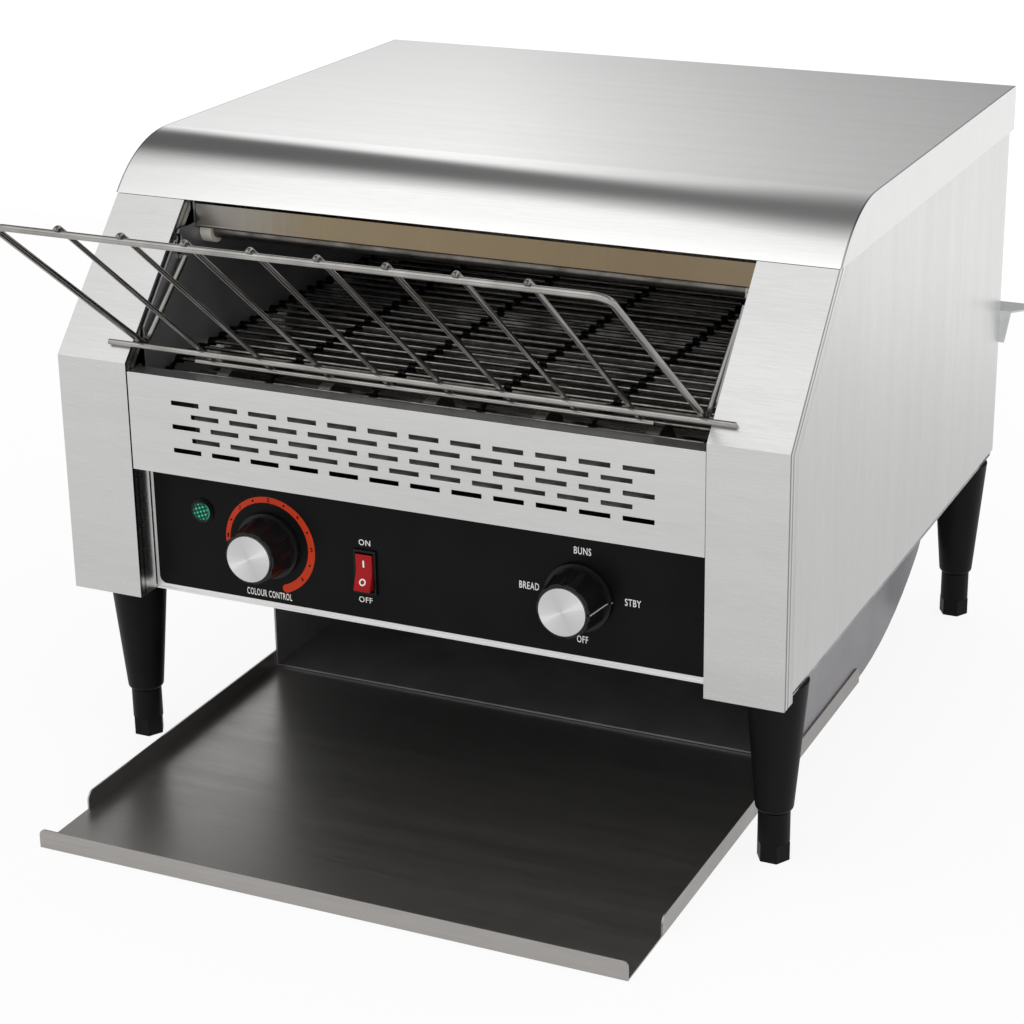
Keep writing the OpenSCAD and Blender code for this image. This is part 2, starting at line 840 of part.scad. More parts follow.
// Roller chain: outer links carry the pins, inner links carry the rollers on them.
module drive_chain() {
    loop_l = 2 * chain_run + (180 + 2 * chain_lean) * PI / 180 * shaft_pitch_r
        + (180 - 2 * chain_lean) * PI / 180 * motor_pitch_r;
    count = 2 * floor(loop_l / chain_pitch / 2);
    step = loop_l / count;
    pin_r = 1.4;
    inner_x = 1.5;
    outer_x = 2.5;
    color("dimgray") placed() translate([chain_x, motor_y, motor_z]) rotate([chain_tilt, 0, 0])
        for (k = [0 : count - 1]) {
            a = chain_at(k * step);
            b = chain_at((k + 1) % count * step);
            way = b - a;
            span = norm(way);
            translate([0, a[0], a[1]]) rotate([atan2(way[1], way[0]), 0, 0])
                if (k % 2 == 0) {
                    link_plates(outer_x, span);
                    for (y = [0, span]) translate([0, y, 0]) disc_x(-outer_x - 1, 2 * outer_x + 2, pin_r);
                } else difference() {
                    union() {
                        link_plates(inner_x, span);
                        for (y = [0, span]) translate([0, y, 0]) disc_x(-inner_x, 2 * inner_x, roller_r);
                    }
                    for (y = [0, span]) translate([0, y, 0]) disc_x(-outer_x, 2 * outer_x, pin_r + 0.1);
                }
        }
}

// Gear motor: can, gearbox plate and the boss that its axle turns in.
module gear_motor() {
    plate_t = 3;
    face = wall_in - run_gap;
    color("darkgray") placed() translate([0, motor_y, motor_z]) difference() {
        union() {
            disc_x(face - plate_t - motor_l, motor_l, motor_r);
            translate([face - plate_t, -motor_r - motor_rim, -motor_r - 4])
                cube([plate_t, 2 * (motor_r + motor_rim), 2 * motor_r + 8]);
            disc_x(face - plate_t - motor_l - 6, 6.5, motor_r * 0.45);
        }
        disc_x(face - 12, 13, 3.5 + shaft_clear);
    }
}

// Outer line of the chute in depth and height, moved inwards by inset.
function chute_line(inset) = concat(
    [[chute_lip, chute_z + inset]],
    [for (i = [0 : 8]) let (a = curve_angle * i / 8)
        [chute_bend + (chute_r - inset) * sin(a), chute_z + chute_r - (chute_r - inset) * cos(a)]],
    [for (i = [1 : 8]) let (a = curve_angle + (90 - curve_angle) * i / 8)
        [chute_back - heel_r + (heel_r - inset) * sin(a),
            curve_z + heel_r * cos(curve_angle) - (heel_r - inset) * cos(a)]]
);

function reversed(list) = [for (i = [len(list) - 1 : -1 : 0]) list[i]];

module toast_chute() {
    top = body_z - seam;
    color("dimgray") placed() {
        across(-chute_half, 2 * chute_half) polygon(concat(
            chute_line(0), [[chute_back, chute_top], [chute_back - sheet, chute_top]],
            reversed(chute_line(sheet))
        ));
        both_sides() across(chute_half - sheet, sheet) polygon(concat(
            chute_line(sheet / 2),
            [[chute_back - sheet / 2, top], [chute_lip + 8, top], [chute_lip, top - 20]]
        ));
        both_sides() translate([chute_half - sheet, chute_lip + 12, top - sheet])
            cube([10, chute_back - chute_lip - 60, sheet]);
    }
}

module toast_tray() {
    corner = 4;
    color("silver") placed() {
        translate([-tray_half, -tray_reach, 0]) cube([2 * tray_half, tray_reach + tray_back, tray_t]);
        across_y(-tray_reach, tray_t) difference() {
            translate([-tray_half, 0]) square([2 * tray_half, tray_h]);
            for (side = [-1, 1]) translate([side * tray_half, tray_h]) difference() {
                square(2 * corner, center = true);
                translate([-side * corner, -corner]) circle(r = corner);
            }
        }
        both_sides() across(tray_half - tray_t, tray_t) {
            translate([tray_notch - tray_reach + tray_h / 2, 0])
                square([tray_back + tray_reach - tray_notch - tray_h, tray_h]);
            for (y = [tray_notch - tray_reach + tray_h / 2, tray_back - tray_h / 2])
                translate([y, tray_h / 2]) circle(r = tray_h / 2);
            translate([tray_notch - tray_reach, 0])
                square([tray_back + tray_reach - tray_notch, tray_h / 2]);
        }
    }
}

// Potentiometer or rotary switch behind the panel, with the bore that the spindle turns in.
module control_body(r, depth) {
    translate([0, 0, control_z]) difference() {
        union() {
            disc_y(panel_back + seam, depth, r);
            translate([-5, panel_back + seam, -r - 7]) cube([10, 2, 10]);
        }
        disc_y(panel_back, spindle_end - panel_back + 1, spindle_r + shaft_clear);
    }
}

module speed_potentiometer() {
    color("darkgreen") placed() translate([-knob_x, 0, 0]) control_body(12, 12);
}

module selector_switch() {
    color("ivory") placed() translate([knob_x, 0, 0]) control_body(16, 34);
}

// Knob: skirt, fluted grip and the spindle that reaches through the panel.
module knob() {
    back = recess_d - knob_gap;
    front = recess_d - knob_l;
    grip_l = back - skirt_t - front;
    flute_r = 5;
    flute_depth = 0.6;
    color("black") placed() translate([0, 0, control_z]) {
        disc_y(back - skirt_t, skirt_t, knob_skirt_r);
        difference() {
            translate([0, front, 0]) rotate([-90, 0, 0])
                cylinder(r1 = knob_front_r, r2 = knob_grip_r, h = grip_l + 0.5);
            for (k = [0 : flute_count - 1]) rotate([0, (k + 0.5) * 360 / flute_count, 0])
                translate([knob_front_r - flute_depth + flute_r, 0, 0])
                    disc_y(front - cut, grip_l + cut, flute_r);
        }
        disc_y(back - 1, spindle_end - back + 1, spindle_r);
    }
}

module knob_cap() {
    color("silver") placed() translate([0, 0, control_z])
        disc_y(recess_d - knob_l - cap_t, cap_t, knob_cap_r);
}

module speed_knob() {
    translate([-knob_x, 0, 0]) knob();
}

module speed_knob_cap() {
    translate([-knob_x, 0, 0]) knob_cap();
}

module selector_knob() {
    translate([knob_x, 0, 0]) knob();
}

module selector_knob_cap() {
    translate([knob_x, 0, 0]) knob_cap();
}

module lamp_bezel() {
    color("black") placed() translate([-lamp_x, 0, body_z + lamp_z]) difference() {
        union() {
            disc_y(recess_d - 1.2, 1.2, lamp_r + 1);
            disc_y(recess_d - 0.2, 14, lamp_r - 1.2);
        }
        disc_y(recess_d - 2, 8, lamp_r - 2.2);
        disc_y(recess_d - 2, 1.4, lamp_r + 0.1);
    }
}

module lamp_lens() {
    color("green") placed() translate([-lamp_x, 0, body_z + lamp_z]) {
        disc_y(recess_d - 2.4, 1.8, lamp_r);
        disc_y(recess_d - 1, 5, lamp_r - 2.4);
    }
}

// Snap-in frame of the rocker switch with its hollow body behind the panel.
module switch_bezel() {
    depth = 18;
    color("black") placed() translate([-switch_x, 0, body_z + switch_z]) difference() {
        union() {
            translate([-switch_w / 2, recess_d - bezel_t, -switch_h / 2])
                cube([switch_w, bezel_t, switch_h]);
            translate([-switch_w / 2 + 1.3, recess_d - 0.5, -switch_h / 2 + 1.3])
                cube([switch_w - 2.6, depth, switch_h - 2.6]);
        }
        translate([-rocker_w / 2 - 0.4, recess_d - bezel_t - cut, -rocker_h / 2 - 0.6])
            cube([rocker_w + 0.8, 13, rocker_h + 1.2]);
    }
}

// Rocker with two faces that meet at its pivot line; at rest the upper half is pressed in.
module power_rocker() {
    half = rocker_h / 2;
    tip = rocker_throw / 2;
    rise = half * tan(tip);
    color("red") placed() translate([-switch_x, rocker_y, body_z + switch_z])
        rotate([-tip, 0, 0]) across(-rocker_w / 2, rocker_w) polygon([
            [-2, 0], [-2 - rise, half * 0.97], [3, half * 0.86], [8, 2.5], [8, -2.5],
            [3, -half * 0.86], [-2 - rise, -half * 0.97]
        ]);
}

module speed_control_board() {
    color("green") placed() translate([-150, panel_back + 22, pan_top + seam]) {
        translate([0, 0, 6]) cube([90, 64, 1.6]);
        for (x = [5, 85], y = [5, 59]) translate([x, y, 0]) cylinder(r = 3, h = 6.2);
        translate([10, 14, 7.4]) cube([22, 14, 26]);
        translate([44, 16, 7.4]) cube([16, 30, 18]);
        translate([72, 30, 7.4]) cylinder(r = 7, h = 20);
    }
}

module terminal_block() {
    color("ivory") placed() translate([20, panel_back + 60, pan_top + seam]) difference() {
        cube([72, 22, 16]);
        for (i = [0 : 5]) translate([6 + i * 12, 11, 8]) cylinder(r = 3, h = 9);
    }
}

module cable_gland() {
    color("black") placed() translate([gland_x, body_d, gland_z]) difference() {
        union() {
            disc_y(-sheet - 12, sheet + 24, gland_r - 0.1);
            disc_y(seam, 7, gland_r + 4, $fn = 6);
            disc_y(-sheet - 6, 6 - seam, gland_r + 4, $fn = 6);
        }
        disc_y(-sheet - 14, sheet + 30, 4);
    }
}

module rear_brackets() {
    tab_h = 23;
    inner = hood_x - 25;
    outer = hood_x + 5;
    wing = hood_x + 12;
    z = body_z + bracket_z;
    color("silver") placed() both_sides() {
        across_y(body_d, sheet)
            polygon([[inner, z], [outer - 4, z], [outer, z + tab_h], [inner, z + tab_h]]);
        translate([0, 0, z + tab_h - sheet]) linear_extrude(sheet) polygon([
            [inner, body_d], [outer, body_d], [wing, body_d + 8],
            [wing, body_d + bracket_reach], [inner, body_d + bracket_reach]
        ]);
    }
}

module panel_screws() {
    head_r = 3.6;
    head_h = 2;
    color("silver") placed() {
        both_sides() for (z = [body_z + 20, body_z + 130, hood_z - 20])
            translate([hood_x - 16, body_d, z]) disc_y(0, head_h, head_r);
        for (x = [-150 : 100 : 150]) translate([x, body_d, hood_z - 12]) disc_y(0, head_h, head_r);
        both_sides() for (z = [6, 12]) translate([hood_x - 8, body_d + sheet, body_z + bracket_z + z])
            disc_y(0, head_h, 2.2);
    }
}

// Moulded leg: tapered from the body down, with the bore that the foot's stem screws into.
module leg() {
    round_r = 3;
    color("black") placed() difference() {
        rotate_extrude() {
            polygon([
                [0, foot_h], [leg_tip_r - round_r, foot_h], [leg_tip_r, foot_h + round_r],
                [leg_top_r, body_z], [0, body_z]
            ]);
            translate([leg_tip_r - round_r, foot_h + round_r]) circle(r = round_r);
        }
        translate([0, 0, foot_h - cut]) cylinder(r = stem_r + run_gap, h = stem_l + 6);
    }
}

// Foot: stem, round collar and hexagon for the fingers or a spanner.
module foot() {
    color("black") placed() {
        cylinder(r = foot_r * 1.06, h = hex_h, $fn = 6);
        translate([0, 0, hex_h]) cylinder(r = foot_r, h = foot_h - run_gap - hex_h);
        translate([0, 0, foot_h - cut]) cylinder(r = stem_r, h = stem_l);
    }
}

module at_leg(side, y) {
    translate([side * (body_w / 2 - leg_inset), y, 0]) children();
}

module left_front_leg() { at_leg(-1, leg_front) leg(); }
module right_front_leg() { at_leg(1, leg_front) leg(); }
module left_rear_leg() { at_leg(-1, body_d - leg_back) leg(); }
module right_rear_leg() { at_leg(1, body_d - leg_back) leg(); }
module left_front_foot() { at_leg(-1, leg_front) foot(); }
module right_front_foot() { at_leg(1, leg_front) foot(); }
module left_rear_foot() { at_leg(-1, body_d - leg_back) foot(); }
module right_rear_foot() { at_leg(1, body_d - leg_back) foot(); }

// Draws in the plane of the rack's arms: X stays, Y runs up the arms, Z points to the bread side.
module in_rack_plane() {
    translate([0, fold_at[0], fold_at[1]])
        rotate([180 - arm_angle, 0, 0])
            mirror([0, 0, 1])
                children();
}

// Quarter bend of a wire, from its centre: it reaches a little into the straight rods at its ends.
module wire_corner(bend, r) {
    rotate([0, 0, -2])
        rotate_extrude(angle = 94)
            translate([bend, 0])
                circle(r = r + swell);
}

module rack_frame() {
    straight = arm_l - rack_bend;
    both_sides() {
        rod([rack_half, fold_start, 0], [rack_half, straight, 0], rack_r);
        translate([rack_half - rack_bend, straight, 0]) wire_corner(rack_bend, rack_r);
    }
    rod([rack_bend - rack_half, arm_l, 0], [rack_half - rack_bend, arm_l, 0], rack_r);
    rod([-cross_half, cross_up, -arm_offset], [cross_half, cross_up, -arm_offset], cross_r);
}

// Leg behind the fold: rises to the keyhole in the inner wall and ends in a hook through it.
module rack_hook() {
    hook_end = post_in - run_gap;
    leg_start = fold_at + fold_start * hook_way;
    bend_at = fold_at + fold_r / sin(fold_half) * fold_mid;
    bend_from = atan2(fold_mid[1], fold_mid[0]) + 180 - (90 - fold_half);
    rod([rack_half, leg_start[0], leg_start[1]], [rack_half, hook_at[0], hook_at[1]], rack_r);
    translate([rack_half, bend_at[0], bend_at[1]])
        rotate([90, 0, 90]) rotate(bend_from - 1) rotate_extrude(angle = 182 - 2 * fold_half)
            translate([fold_r, 0]) circle(r = rack_r + swell);
    translate([rack_half, hook_at[0], hook_at[1]]) sphere(r = rack_r + swell);
    rod([rack_half, hook_at[0], hook_at[1]], [hook_end, hook_at[0], hook_at[1]], rack_r);
}

// Height of the thin wires' axis over the plane of the arms, y up the arms.
function wire_z(y) = wire_r - rack_r + (hook_wire - wire_r + rack_r) * (y - cross_up) / (arm_l - cross_up);

// Thin wires: curled over the top bar, welded to the cross rod and joined in pairs below it.
module rack_wires() {
    low = cross_up - wire_tail;
    stay_y = cross_up - stay_drop;
    stay_z = wire_z(stay_y) - 2 * wire_r + weld;
    corner = low + wire_bend;
    for (i = [0 : wire_count - 1]) {
        x = (i - (wire_count - 1) / 2) * wire_pitch;
        rod([x, corner, wire_z(corner)], [x, arm_l, hook_wire], wire_r);
        translate([x, arm_l, 0]) rotate([-5, 0, 0]) rotate([0, -90, 0]) rotate_extrude(angle = 75)
            translate([hook_wire, 0]) circle(r = wire_r + swell);
    }
    for (i = [0 : 2 : wire_count - 2]) {
        x = (i + 0.5 - (wire_count - 1) / 2) * wire_pitch;
        translate([x, low, wire_z(corner)]) {
            rod([wire_bend - wire_pitch / 2, 0, 0], [wire_pitch / 2 - wire_bend, 0, 0], wire_r);
            both_sides() translate([wire_pitch / 2 - wire_bend, wire_bend, 0])
                mirror([0, 1, 0]) wire_corner(wire_bend, wire_r);
        }
    }
    rod([-stay_half, stay_y, stay_z], [stay_half, stay_y, stay_z], wire_r);
}

module loading_rack() {
    color("silver") placed() {
        in_rack_plane() {
            rack_frame();
            rack_wires();
        }
        both_sides() rack_hook();
    }
}

hood();
left_side_panel();
right_side_panel();
left_front_post();
right_front_post();
back_panel();
base_pan();
vent_panel();
heat_shield();
control_panel();
control_overlay();
upper_baffle();
left_inner_wall();
right_inner_wall();
inner_partition();
upper_reflector();
lower_reflector();
upper_heating_tubes();
lower_heating_tubes();
tube_holders();
belt_rods();
belt_links();
shaft_bushes();
gear_motor();
drive_chain();
toast_chute();
speed_potentiometer();
selector_switch();
lamp_bezel();
lamp_lens();
switch_bezel();
speed_control_board();
terminal_block();
cable_gland();
rear_brackets();
panel_screws();
left_front_leg();
right_front_leg();
left_rear_leg();
right_rear_leg();
left_front_foot();
right_front_foot();
left_rear_foot();
right_rear_foot();
loading_rack();
toast_tray();
speed_knob();
speed_knob_cap();
selector_knob();
selector_knob_cap();
power_rocker();
drive_shaft();
belt_wheels();
driven_chain_wheel();
front_shaft();
front_rollers();
motor_chain_wheel();
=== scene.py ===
# %% [markdown]
# # A three-slice conveyor toaster, dressed for a studio picture
#
# The toaster is a folded stainless cabinet on four black legs. Bread slides down a wire rack onto a
# wire belt, rides between heating tubes and drops down a chute onto a tray. The shapes of all rigid
# pieces come from the CAD frame. This lesson gives them their finishes, adds what is printed on
# them, and lights the whole thing in a plain white studio.

import math

import bmesh
import bpy
from mathutils import Matrix, Vector


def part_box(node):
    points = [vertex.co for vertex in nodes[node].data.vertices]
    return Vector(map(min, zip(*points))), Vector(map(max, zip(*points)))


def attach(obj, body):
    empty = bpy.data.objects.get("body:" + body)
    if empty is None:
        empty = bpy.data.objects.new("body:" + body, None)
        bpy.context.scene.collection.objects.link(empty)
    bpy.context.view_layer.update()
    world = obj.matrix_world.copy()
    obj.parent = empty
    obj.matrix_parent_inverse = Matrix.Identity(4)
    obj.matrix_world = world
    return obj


MM = 0.001
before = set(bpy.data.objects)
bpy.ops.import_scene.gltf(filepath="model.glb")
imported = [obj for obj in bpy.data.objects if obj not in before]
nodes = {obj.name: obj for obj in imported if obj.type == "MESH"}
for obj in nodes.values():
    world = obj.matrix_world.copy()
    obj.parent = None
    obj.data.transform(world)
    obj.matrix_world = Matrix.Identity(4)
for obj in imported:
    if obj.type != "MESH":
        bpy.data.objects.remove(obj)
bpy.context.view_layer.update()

# %% [markdown]
# ## The camera
#
# A product camera stands a little to the right of the machine and looks down at it. A long lens
# keeps the cabinet's edges nearly parallel. The position is in millimetres in the frame's own
# coordinates, so it can be read against a drawing of the machine. The lens is shifted slightly, as
# a studio camera's is, to place the machine in the square picture.

# %% Camera
CAMERA_MM = (631.8, -1372.8, 721.9)
CAMERA_AZIMUTH = 24.25
CAMERA_ELEVATION = 20.03
CAMERA_ROLL = -0.56
PICTURE_PX = 1024
FOCAL_PX = 2502.4
CENTRE_PX = (550.0, 462.0)
SENSOR_MM = 36.0
SIGHT_M = 60.0


def camera_matrix(place, azimuth, elevation, roll):
    """Camera pose from a place in metres and three angles in degrees."""
    turn = Matrix.Rotation(math.radians(azimuth), 4, "Z")
    tilt = Matrix.Rotation(math.radians(90.0 - elevation), 4, "X")
    lean = Matrix.Rotation(math.radians(roll), 4, "Z")
    return Matrix.Translation(place) @ turn @ tilt @ lean


camera_data = bpy.data.cameras.new("studio_camera")
camera_data.sensor_width = SENSOR_MM
camera_data.lens = FOCAL_PX * SENSOR_MM / PICTURE_PX
camera_data.shift_x = (PICTURE_PX / 2 - CENTRE_PX[0]) / PICTURE_PX
camera_data.shift_y = (CENTRE_PX[1] - PICTURE_PX / 2) / PICTURE_PX
camera_data.clip_end = SIGHT_M
camera = bpy.data.objects.new("studio_camera", camera_data)
camera.matrix_world = camera_matrix(
    Vector(CAMERA_MM) * MM, CAMERA_AZIMUTH, CAMERA_ELEVATION, CAMERA_ROLL
)
bpy.context.scene.collection.objects.link(camera)
bpy.context.scene.camera = camera
print("lens", round(camera_data.lens, 2), "mm")

# %% [markdown]
# ## Colours and nodes
#
# Colours are given as sRGB hex values, while the renderer works in linear light, so one
# function converts them. A second small function adds a shader node with its settings, its inputs
# and, where it is given stops, its colour ramp. An input can be a plain value, a socket, or simply
# another node, which then stands for its first output in use. That keeps each recipe below short
# enough to read as a list of steps.

# %% Helpers for materials


def linear(code):
    """Linear RGBA of an sRGB hex colour such as '#c8c8c6'."""
    channels = [int(code[i : i + 2], 16) / 255.0 for i in (1, 3, 5)]
    return [c / 12.92 if c <= 0.04045 else ((c + 0.055) / 1.055) ** 2.4 for c in channels] + [1.0]


def grey(value):
    """Grey RGBA for ramps that carry a plain number."""
    return (value, value, value, 1.0)


def greys(pairs, unit=1.0):
    """Ramp stops from (place, number) pairs, each number given in a unit."""
    return [(place, grey(number / unit)) for place, number in pairs]


def span(limits, low=0.0, high=1.0):
    """Map Range inputs that turn a value between two limits into one between low and high."""
    return {"From Min": limits[0], "From Max": limits[1], "To Min": low, "To Max": high}


def fill(node, inputs):
    """Fills a node's inputs with values, or links them to sockets or to other nodes."""
    for name, value in inputs.items():
        if isinstance(value, bpy.types.Node):
            value = next(output for output in value.outputs if output.enabled)
        if isinstance(value, bpy.types.NodeSocket):
            node.id_data.links.new(value, node.inputs[name])
        else:
            node.inputs[name].default_value = value


def add_node(tree, kind, inputs=None, stops=(), **settings):
    """Adds a shader node, sets its properties and ramp stops, and fills its inputs."""
    node = tree.nodes.new("ShaderNode" + kind)
    for name, value in settings.items():
        setattr(node, name, value)
    fill(node, inputs or {})
    for index, (position, colour) in enumerate(stops):
        if index >= len(node.color_ramp.elements):
            node.color_ramp.elements.new(position)
        node.color_ramp.elements[index].position = position
        node.color_ramp.elements[index].color = colour
    return node


def new_material(name):
    """Empty node material: returns it with its tree and its Principled shader."""
    material = bpy.data.materials.new(name)
    material.use_nodes = True
    tree = material.node_tree
    return material, tree, tree.nodes["Principled BSDF"]


def object_axes(tree):
    """Sockets X, Y and Z of the shaded point in the piece's own coordinates, in metres."""
    place = add_node(tree, "TexCoord")
    return add_node(tree, "SeparateXYZ", {"Vector": place.outputs["Object"]}).outputs


def object_mm(tree, cell):
    """The piece's own coordinates over the size of one pattern cell, given in mm along X, Y, Z."""
    place = add_node(tree, "TexCoord")
    scale = tuple(1.0 / (size * MM) for size in cell)
    return add_node(tree, "Mapping", {"Vector": place.outputs["Object"], "Scale": scale})


NOISE_RANGE = (0.3, 0.7)


def tone_and_sheen(shader, pattern, light, dark, rough_from, rough_to, limits=(0.0, 1.0)):
    """One pattern drives colour and roughness. Noise hardly leaves the range 0.3 to 0.7."""
    tree = shader.id_data
    tones = list(zip(NOISE_RANGE, (linear(dark), linear(light))))
    colour = add_node(tree, "ValToRGB", {"Fac": pattern}, tones)
    rough = span(limits, rough_from, rough_to)
    shade = add_node(tree, "MapRange", {"Value": pattern, **rough})
    fill(shader, {"Base Color": colour, "Roughness": shade})


# %% [markdown]
# ## Brushed stainless steel
#
# The cabinet is AISI 430 sheet with a number 4 finish: a belt grinder has left fine parallel lines.
# The eye reads three things from it: faint streaks along the grain, reflections that smear across
# the grain, and a pale, neutral grey. The lines are really about 0.1 mm wide, too fine to show
# here, so they are drawn 0.8 mm wide and 18 mm long, as the grinder's single scratches run.
# Stretched noise makes them and drives colour, roughness and a shallow bump together, because on
# real sheet all three come from the same scratches. The contrast stays at a few hundredths: more of
# it looks like wood.

# %% Material: brushed stainless
GRAIN_WIDTH_MM, GRAIN_LENGTH_MM = 0.8, 18.0
STREAK_WIDTH_MM, STREAK_LENGTH_MM = 14.0, 260.0
STREAK_SHARE = 0.35
SCRATCH_DEPTH_MM = 0.02


def brushed_steel(name, light, dark, grain_axis, rough, smear=0.5, spread=0.03, cross=(0, 1, 0)):
    """Sheet with parallel grinding lines along one axis (0, 1 or 2 for X, Y or Z)."""
    material, tree, shader = new_material(name)
    cell, wide = [GRAIN_WIDTH_MM] * 3, [STREAK_WIDTH_MM] * 3
    cell[grain_axis], wide[grain_axis] = GRAIN_LENGTH_MM, STREAK_LENGTH_MM
    lines = add_node(
        tree,
        "TexNoise",
        {"Vector": object_mm(tree, cell), "Scale": 1.0, "Detail": 3.0, "Roughness": 0.6},
    )
    bands = add_node(
        tree, "TexNoise", {"Vector": object_mm(tree, wide), "Scale": 1.0, "Detail": 2.0}
    )
    streak = add_node(tree, "Mix", {"Factor": STREAK_SHARE, "A": lines, "B": bands})
    tone_and_sheen(shader, streak, light, dark, rough + spread, rough - spread, NOISE_RANGE)
    across = add_node(tree, "CombineXYZ", {"X": cross[0], "Y": cross[1], "Z": cross[2]})
    scratches = add_node(
        tree, "Bump", {"Height": lines, "Strength": 0.06, "Distance": SCRATCH_DEPTH_MM * MM}
    )
    fill(shader, {"Metallic": 1.0, "Anisotropic": smear, "Tangent": across, "Normal": scratches})
    return material


UPRIGHT = (0, 0, 1)
hood_steel = brushed_steel(
    "stainless_430_brushed_hood", "#f6f6f5", "#eeeeed", 0, rough=0.16, smear=0.3, spread=0.02
)
side_steel = brushed_steel("stainless_430_brushed_side", "#e4e4e3", "#d9d9d8", 2, rough=0.30)
panel_steel = brushed_steel(
    "stainless_430_brushed_panel", "#d7d7d6", "#cdcdcc", 0, rough=0.30, cross=UPRIGHT
)
lip_steel = brushed_steel(
    "stainless_430_brushed_lip", "#f0f0ef", "#e6e6e5", 0, rough=0.30, cross=UPRIGHT
)
back_steel = brushed_steel(
    "stainless_430_brushed_back", "#c8c8c6", "#bcbcba", 0, rough=0.38, cross=UPRIGHT
)
tray_steel = brushed_steel(
    "stainless_430_brushed_tray", "#b4b1ae", "#a7a4a1", 0, rough=0.34, spread=0.05
)
print("brushed steel materials made")

# %% [markdown]
# ## The hood's edge line
#
# Where the hood's top meets its folded skirt, the last millimetre of the top is darkened by a
# painted shade. It reads as a thin pencil line along both edges of the top and round the roll, and
# it separates two surfaces that are otherwise nearly the same white. The skirt, which looks
# sideways, gets a weaker painted shade that makes it a shade greyer than the polished top.

# %% Material: line along the hood's edges
HOOD_HALF_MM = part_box("hood")[1][0] / MM
EDGE_LINE_MM = 1.1
EDGE_PAINTED_SHADE_TONE = 0.42
SKIRT_PAINTED_SHADE_TONE = 0.80
SKIRT_TURN = 0.8


def sideways(tree):
    """How far the surface looks along X: 0 for not at all, 1 for straight."""
    place = add_node(tree, "TexCoord")
    facing = add_node(tree, "SeparateXYZ", {"Vector": place.outputs["Normal"]})
    return add_node(tree, "Math", {0: facing.outputs["X"]}, operation="ABSOLUTE")


def tone_where(shader, mask, tone):
    """Multiplies the sheet's colour by a tone where the mask is 1."""
    sheet = shader.inputs["Base Color"].links[0].from_socket
    inputs = {0: mask, 6: sheet, 7: tone}
    toned = add_node(shader.id_data, "Mix", inputs, data_type="RGBA", blend_type="MULTIPLY")
    fill(shader, {"Base Color": toned})


def edge_line(material, half_mm, line_mm):
    """Painted shade: darkens a strip at both X ends of the top, and by less the sideways faces."""
    tree = material.node_tree
    shader = tree.nodes["Principled BSDF"]
    reach = add_node(tree, "Math", {0: object_axes(tree)["X"]}, operation="ABSOLUTE")
    inside = (half_mm - line_mm) * MM
    ending = add_node(tree, "Math", {0: reach, 1: inside}, operation="GREATER_THAN")
    turned = sideways(tree)
    upward = add_node(tree, "Math", {0: turned, 1: SKIRT_TURN}, operation="LESS_THAN")
    strip = add_node(tree, "Math", {0: ending, 1: upward}, operation="MULTIPLY")
    folded = add_node(tree, "Math", {0: turned, 1: SKIRT_TURN}, operation="GREATER_THAN")
    # Painted shade: a dark line at the top's ends and a greyer skirt.
    tone_where(shader, strip, grey(EDGE_PAINTED_SHADE_TONE))
    tone_where(shader, folded, grey(SKIRT_PAINTED_SHADE_TONE))


edge_line(hood_steel, HOOD_HALF_MM, EDGE_LINE_MM)
print("hood edge line", EDGE_LINE_MM, "mm inside", round(HOOD_HALF_MM, 1), "mm")

# %% [markdown]
# ## The folded posts
#
# Each front post is one folded sheet. Its front face carries the grain, and a 14 mm flange is
# folded back over the side panel. Along the fold the material paints fine lines: dark along the
# corner, a painted highlight just behind it, a darker band, then a second painted highlight.
# The lines follow the post's profile, vertical below and slanted above, so the material measures
# the distance from that profile in the piece's own coordinates and darkens or lightens the steel by
# a few tenths.

# %% Material: folded post
POST_FRONT_MM = -176.0
BEND_HEIGHT_MM = 267.0
SLANT = math.radians(47.5)
FOLD_MM = 12.0
FOLD_TURN = 0.9
FOLD_LINE_AND_HIGHLIGHT_TONES = [
    (0.0, 0.30),
    (0.16, 0.34),
    (0.21, 1.14),
    (0.37, 1.14),
    (0.41, 0.50),
    (0.54, 0.55),
    (0.59, 1.16),
    (0.71, 1.16),
    (0.76, 1.0),
]


def post_steel(name):
    """Brushed post sheet; sideways faces get the fold's lines and painted highlights."""
    material = brushed_steel(name, "#d5d5d4", "#cbcbca", 0, rough=0.28, cross=UPRIGHT)
    tree = material.node_tree
    at = object_axes(tree)
    behind = add_node(tree, "Math", {0: at["Y"], 1: -POST_FRONT_MM * MM}, operation="ADD")
    above = add_node(tree, "Math", {0: at["Z"], 1: -BEND_HEIGHT_MM * MM}, operation="ADD")
    rise = add_node(tree, "Math", {0: above, 1: -math.cos(SLANT)}, operation="MULTIPLY")
    slanted = add_node(
        tree, "Math", {0: behind, 1: math.sin(SLANT), 2: rise}, operation="MULTIPLY_ADD"
    )
    inward = add_node(tree, "Math", {0: behind, 1: slanted}, operation="MINIMUM")
    band = add_node(tree, "MapRange", {"Value": inward, **span((0.0, FOLD_MM * MM))})
    # Painted highlights over the fold, between darker lines along the corner and on the flange.
    lines = add_node(tree, "ValToRGB", {"Fac": band}, greys(FOLD_LINE_AND_HIGHLIGHT_TONES))
    flange = add_node(tree, "Math", {0: sideways(tree), 1: FOLD_TURN}, operation="GREATER_THAN")
    tone_where(tree.nodes["Principled BSDF"], flange, lines)
    return material


folded_steel = post_steel("stainless_430_brushed_post")
print("post steel made, fold at", round(math.degrees(SLANT), 1), "degrees")

# %% [markdown]
# ## Sheets that the heat reaches
#
# Inside the tunnel the same stainless has been tinted straw and brown by the heating tubes: an
# oxide film that starts grey at the cool left end and browns towards the middle. Its grinding lines
# run upright there, because the strip was cut across the coil. The inner walls, the chute and the
# strip below the rack are only dulled to a mid grey. The hidden pans are zinc-coated sheet with its
# spangle, and the rear brackets are the same sheet while it is still bright.

